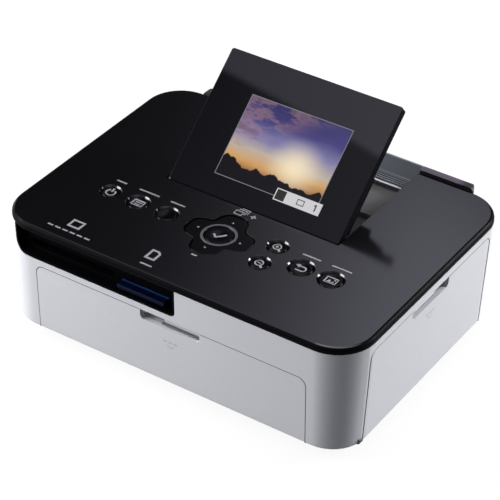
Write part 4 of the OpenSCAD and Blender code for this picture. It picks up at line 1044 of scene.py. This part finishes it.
ring = {"inner": 6.85, "outer": 7.95, "rise": 0.22, "steps": 64, "weld": 0.001, "edge": 0.1}
arrows = [("triangle", (10.6, 0.0), 0.72, 0), ("triangle", (0.0, 10.6), 0.72, 90),
          ("triangle", (-10.6, 0.0), 0.72, 180), ("triangle", (0.0, -10.6), 0.72, 270)]


def makeNavigation():
    # the grey ring around the middle key, and an arrow on each lobe
    middle, _ = topOf("nav_pad")
    bm = bmesh.new()
    inner, outer = ring["inner"], ring["outer"]
    section = addPlate(bm, ((inner + outer) / 2, 0), outer - inner, 2 * ring["rise"])
    bmesh.ops.rotate(bm, cent=(0, 0, 0), matrix=Matrix.Rotation(math.radians(90), 3, "X"), verts=section)
    bm.normal_update()
    bmesh.ops.spin(bm, geom=section + bm.edges[:], cent=(0, 0, 0), axis=(0, 0, 1),
                   angle=math.radians(360), steps=ring["steps"], use_merge=True)
    # the plate that was spun lies inside the ring
    bmesh.ops.delete(bm, geom=[f for f in bm.faces if abs(f.calc_center_median().y) < 0.01
                               and abs(f.normal.y) > 0.9], context="FACES_ONLY")
    bmesh.ops.remove_doubles(bm, verts=bm.verts, dist=ring["weld"])
    bmesh.ops.translate(bm, vec=middle, verts=bm.verts)
    softenEdges(newPiece(bm, "confirmRing", "nav_pad", "ring"), ring["edge"])
    bm = bmesh.new()
    draw(bm, arrows)
    thicken(bm)
    bmesh.ops.translate(bm, vec=middle, verts=bm.verts)
    newPiece(bm, "navigationArrows", "nav_pad", "marks")


panelMarks = {
    "over": 0.3, "line": 0.75,
    # a line of this width over each key
    "labelUp": 8.5,
    "labels": {"power_button": 5.2, "menu_button": 10.4, "edit_button": 7.4, "back_button": 8.8,
               "print_button": 9.4},
    # place and sign: plus, minus, a stack of sheets, and the outlines of the two cards over their lines
    "signs": [
        ((3.9, -8.8), [("bar", (-1.35, 0), (1.35, 0), 0.75), ("bar", (0, 0.375), (0, 1.35), 0.75, 1),
                       ("bar", (0, -1.35), (0, -0.375), 0.75, 1)]),
        ((-1.3, -45.6), [("bar", (-1.35, 0), (1.35, 0), 0.75)]),
        ((-3.2, -9.3), [("box", (0, 0), 4.2, 3.0, 0.5), ("bar", (-1.1, 2.5), (3.1, 2.5), 0.5),
                        ("bar", (2.85, 2.25), (2.85, -0.5), 0.5), ("bar", (-0.1, 3.5), (4.1, 3.5), 0.5),
                        ("bar", (3.85, 3.25), (3.85, 0.5), 0.5)]),
        ((-54.4, -55.9), [("box", (0, 0), 6.4, 5.6, 1.05), *(("bar", (start, -6.1), (start + 2.7, -6.1), 0.75)
                                                             for start in (-10.4, -6.6, -2.8, 1.0, 4.8, 8.6))]),
        ((-15.0, -55.2), [("box", (0, 0), 5.2, 6.8, 1.05, 1.6), ("bar", (-1.6, -7.3), (4.2, -7.3), 0.75)]),
    ],
}


def makePanelMarks():
    bm = bmesh.new()
    for node, width in panelMarks["labels"].items():
        middle, _ = topOf(node)
        draw(bm, [("bar", (-width / 2, 0), (width / 2, 0), panelMarks["line"])],
             (middle.x, middle.y + panelMarks["labelUp"]))
    for place, sign in panelMarks["signs"]:
        draw(bm, sign, place)
    thicken(bm)
    bmesh.ops.translate(bm, vec=(0, 0, topOf("power_button")[0].z + panelMarks["over"]), verts=bm.verts)
    newPiece(bm, "panelMarks", "top_cover", "marks")


makeKeySigns()
makeNavigation()
makePanelMarks()
print("marks printed")


# the display: a picture behind gloss, its thin frame line and the badge with the number of prints

evening = {
    "stops": [(0.0, (0.05, 0.03, 0.03)), (0.14, (0.26, 0.10, 0.035)), (0.27, (0.62, 0.35, 0.13)),
              (0.40, (0.50, 0.42, 0.36)), (0.56, (0.20, 0.19, 0.38)), (0.76, (0.065, 0.055, 0.20)),
              (1.0, (0.028, 0.024, 0.115))],
    "haze": ((1.2, 3.4, 1.0), (3.1, 0.4, 0)), "hazeDetail": (4.0, 0.6), "hazeShift": 0.22,
    "glowAt": (0.66, 0.36), "glowNarrow": 1.25, "glowReach": (0.0, 0.40, 0.80, 0.0), "glow": (0.96, 0.83, 0.58, 1),
    "puffs": ((3.0, 6.5, 1.0), (0.6, 1.7, 0)), "puffDetail": (6.0, 0.62), "puff": (0.43, 0.70),
    "bankLean": 0.9, "bank": (-0.15, -0.55), "cloud": (0.20, 0.115, 0.15, 1),
    "rim": ((0.40, 0.50), (0.60, 0.50)), "rimLight": 0.18, "rimColour": (0.70, 0.42, 0.32, 1),
    "ridge": ((4.5, 0.0, 1.0), (1.3, 0, 0)), "ridgeDetail": (3.0, 0.5), "ridgeHigh": 0.40, "ridgeFall": -0.05,
    "ridgeEdge": (0.012, -0.004), "hills": (0.006, 0.005, 0.008, 1),
    "face": grey(0.004), "gloss": 0.04,
}


def pictureFinish():
    # an evening sky over low hills, drawn from the piece's own UV map
    material, tree, shader, _ = newMaterial("screenPicture")
    across, up, _ = axes(tree, addNode(tree, "ShaderNodeUVMap", uv_map="UVMap").outputs[0])
    flat = addNode(tree, "ShaderNodeCombineXYZ")
    feed(tree, flat.inputs[0], across)
    feed(tree, flat.inputs[1], up)

    def pattern(name, detail):
        return noise(tree, stretched(tree, flat.outputs[0], *evening[name]), 1.0, *evening[detail])

    haze = times(tree, minus(tree, pattern("haze", "hazeDetail"), 0.5), evening["hazeShift"])
    sky = colourSteps(tree, plus(tree, up, haze), evening["stops"])
    glowX = times(tree, minus(tree, across, evening["glowAt"][0]), evening["glowNarrow"])
    glowY = minus(tree, up, evening["glowAt"][1])
    away = calc(tree, "SQRT", plus(tree, times(tree, glowX, glowX), times(tree, glowY, glowY)))
    picture = blendColour(tree, remap(tree, away, *evening["glowReach"]), sky, evening["glow"])
    puffs = pattern("puffs", "puffDetail")
    bank = remap(tree, minus(tree, times(tree, across, evening["bankLean"]), up), *evening["bank"])
    cloud = times(tree, remap(tree, puffs, *evening["puff"]), bank)
    picture = blendColour(tree, cloud, picture, evening["cloud"])
    inner, outer = evening["rim"]
    rims = times(tree, remap(tree, puffs, *inner), remap(tree, puffs, *outer), bank, evening["rimLight"])
    picture = blendColour(tree, rims, picture, evening["rimColour"])
    skyline = plus(tree, times(tree, pattern("ridge", "ridgeDetail"), evening["ridgeHigh"]),
                   times(tree, across, evening["ridgeFall"]))
    hills = remap(tree, minus(tree, up, skyline), *evening["ridgeEdge"])
    feedAll(tree, shader, {"Emission Color": blendColour(tree, hills, picture, evening["hills"]),
                           "Emission Strength": 1.0, "Base Color": evening["face"], "Roughness": evening["gloss"]})
    return material


def litFinish(name, colour):
    # a lit flat area of the display, uneven as a backlight is
    material, tree, shader, place = newMaterial(name)
    uneven = useGrain(tree, place, 900.0, 0.06, 0.08)
    feedAll(tree, shader, {"Emission Color": shaded(tree, (*colour, 1), uneven["Shade"]), "Emission Strength": 1.0,
                           "Base Color": grey(0.01), "Roughness": 0.06})
    return material


finishes.update({
    "picture": pictureFinish(),
    "frameLight": litFinish("frameLight", (0.20, 0.20, 0.22)),
    "badgeLight": litFinish("badgeLight", (0.60, 0.60, 0.62)),
    "badgeDark": litFinish("badgeDark", (0.022, 0.018, 0.016)),
})


display = {
    "middle": (1.5, 28.9), "width": 51.0, "height": 38.0, "face": 2.0, "thick": 0.06, "level": -0.02,
    # name: finish, thickness, level over the glass's face, place, sign
    "signs": {
        "displayFrameLine": ("frameLight", 0.06, -0.01, (1.5, 28.9), [("box", (0, 0), 51.64, 38.64, 0.32)]),
        "displayBadge": ("badgeLight", 0.08, 0.02, (17.9, 10.75), [("plate", (0, 0), 22.8, 5.5)]),
        # a dark square, the outline of a sheet and the digit 1
        "displayBadgeMarks": ("badgeDark", 0.08, 0.05, (17.9, 10.75), [
            ("plate", (-8.6, 0), 4.6, 4.6), ("box", (1.4, 0), 3.6, 2.6, 0.35),
            ("bar", (8.8, -1.5), (8.8, 1.5), 0.55), ("bar", (7.9, 0.8), (8.65, 1.4), 0.45, 1)]),
    },
}


def layOnDisplay(bm, name, finish, thick, level):
    # from flat at the hinge, up to the glass's face and round to the tilt at rest
    joint = next(j for j in frame["joints"] if j["name"] == "lcd_tilt")
    thicken(bm, thick)
    bmesh.ops.translate(bm, vec=(0, 0, display["face"] + level), verts=bm.verts)
    bmesh.ops.transform(bm, verts=bm.verts, matrix=Matrix.Translation(Vector(joint["pos_m"]) / mm)
                        @ Matrix.Rotation(math.radians(-joint["range_deg"][0]), 4, "X"))
    newPiece(bm, name, "lcd_window", finish)


def makeDisplay():
    bm = bmesh.new()
    bm.loops.layers.uv.new("UVMap")
    addPlate(bm, display["middle"], display["width"], display["height"], calc_uvs=True)
    layOnDisplay(bm, "displayPicture", "picture", display["thick"], display["level"])
    for name, (finish, thick, level, place, sign) in display["signs"].items():
        bm = bmesh.new()
        draw(bm, sign, place)
        layOnDisplay(bm, name, finish, thick, level)


makeDisplay()
print("display lit")
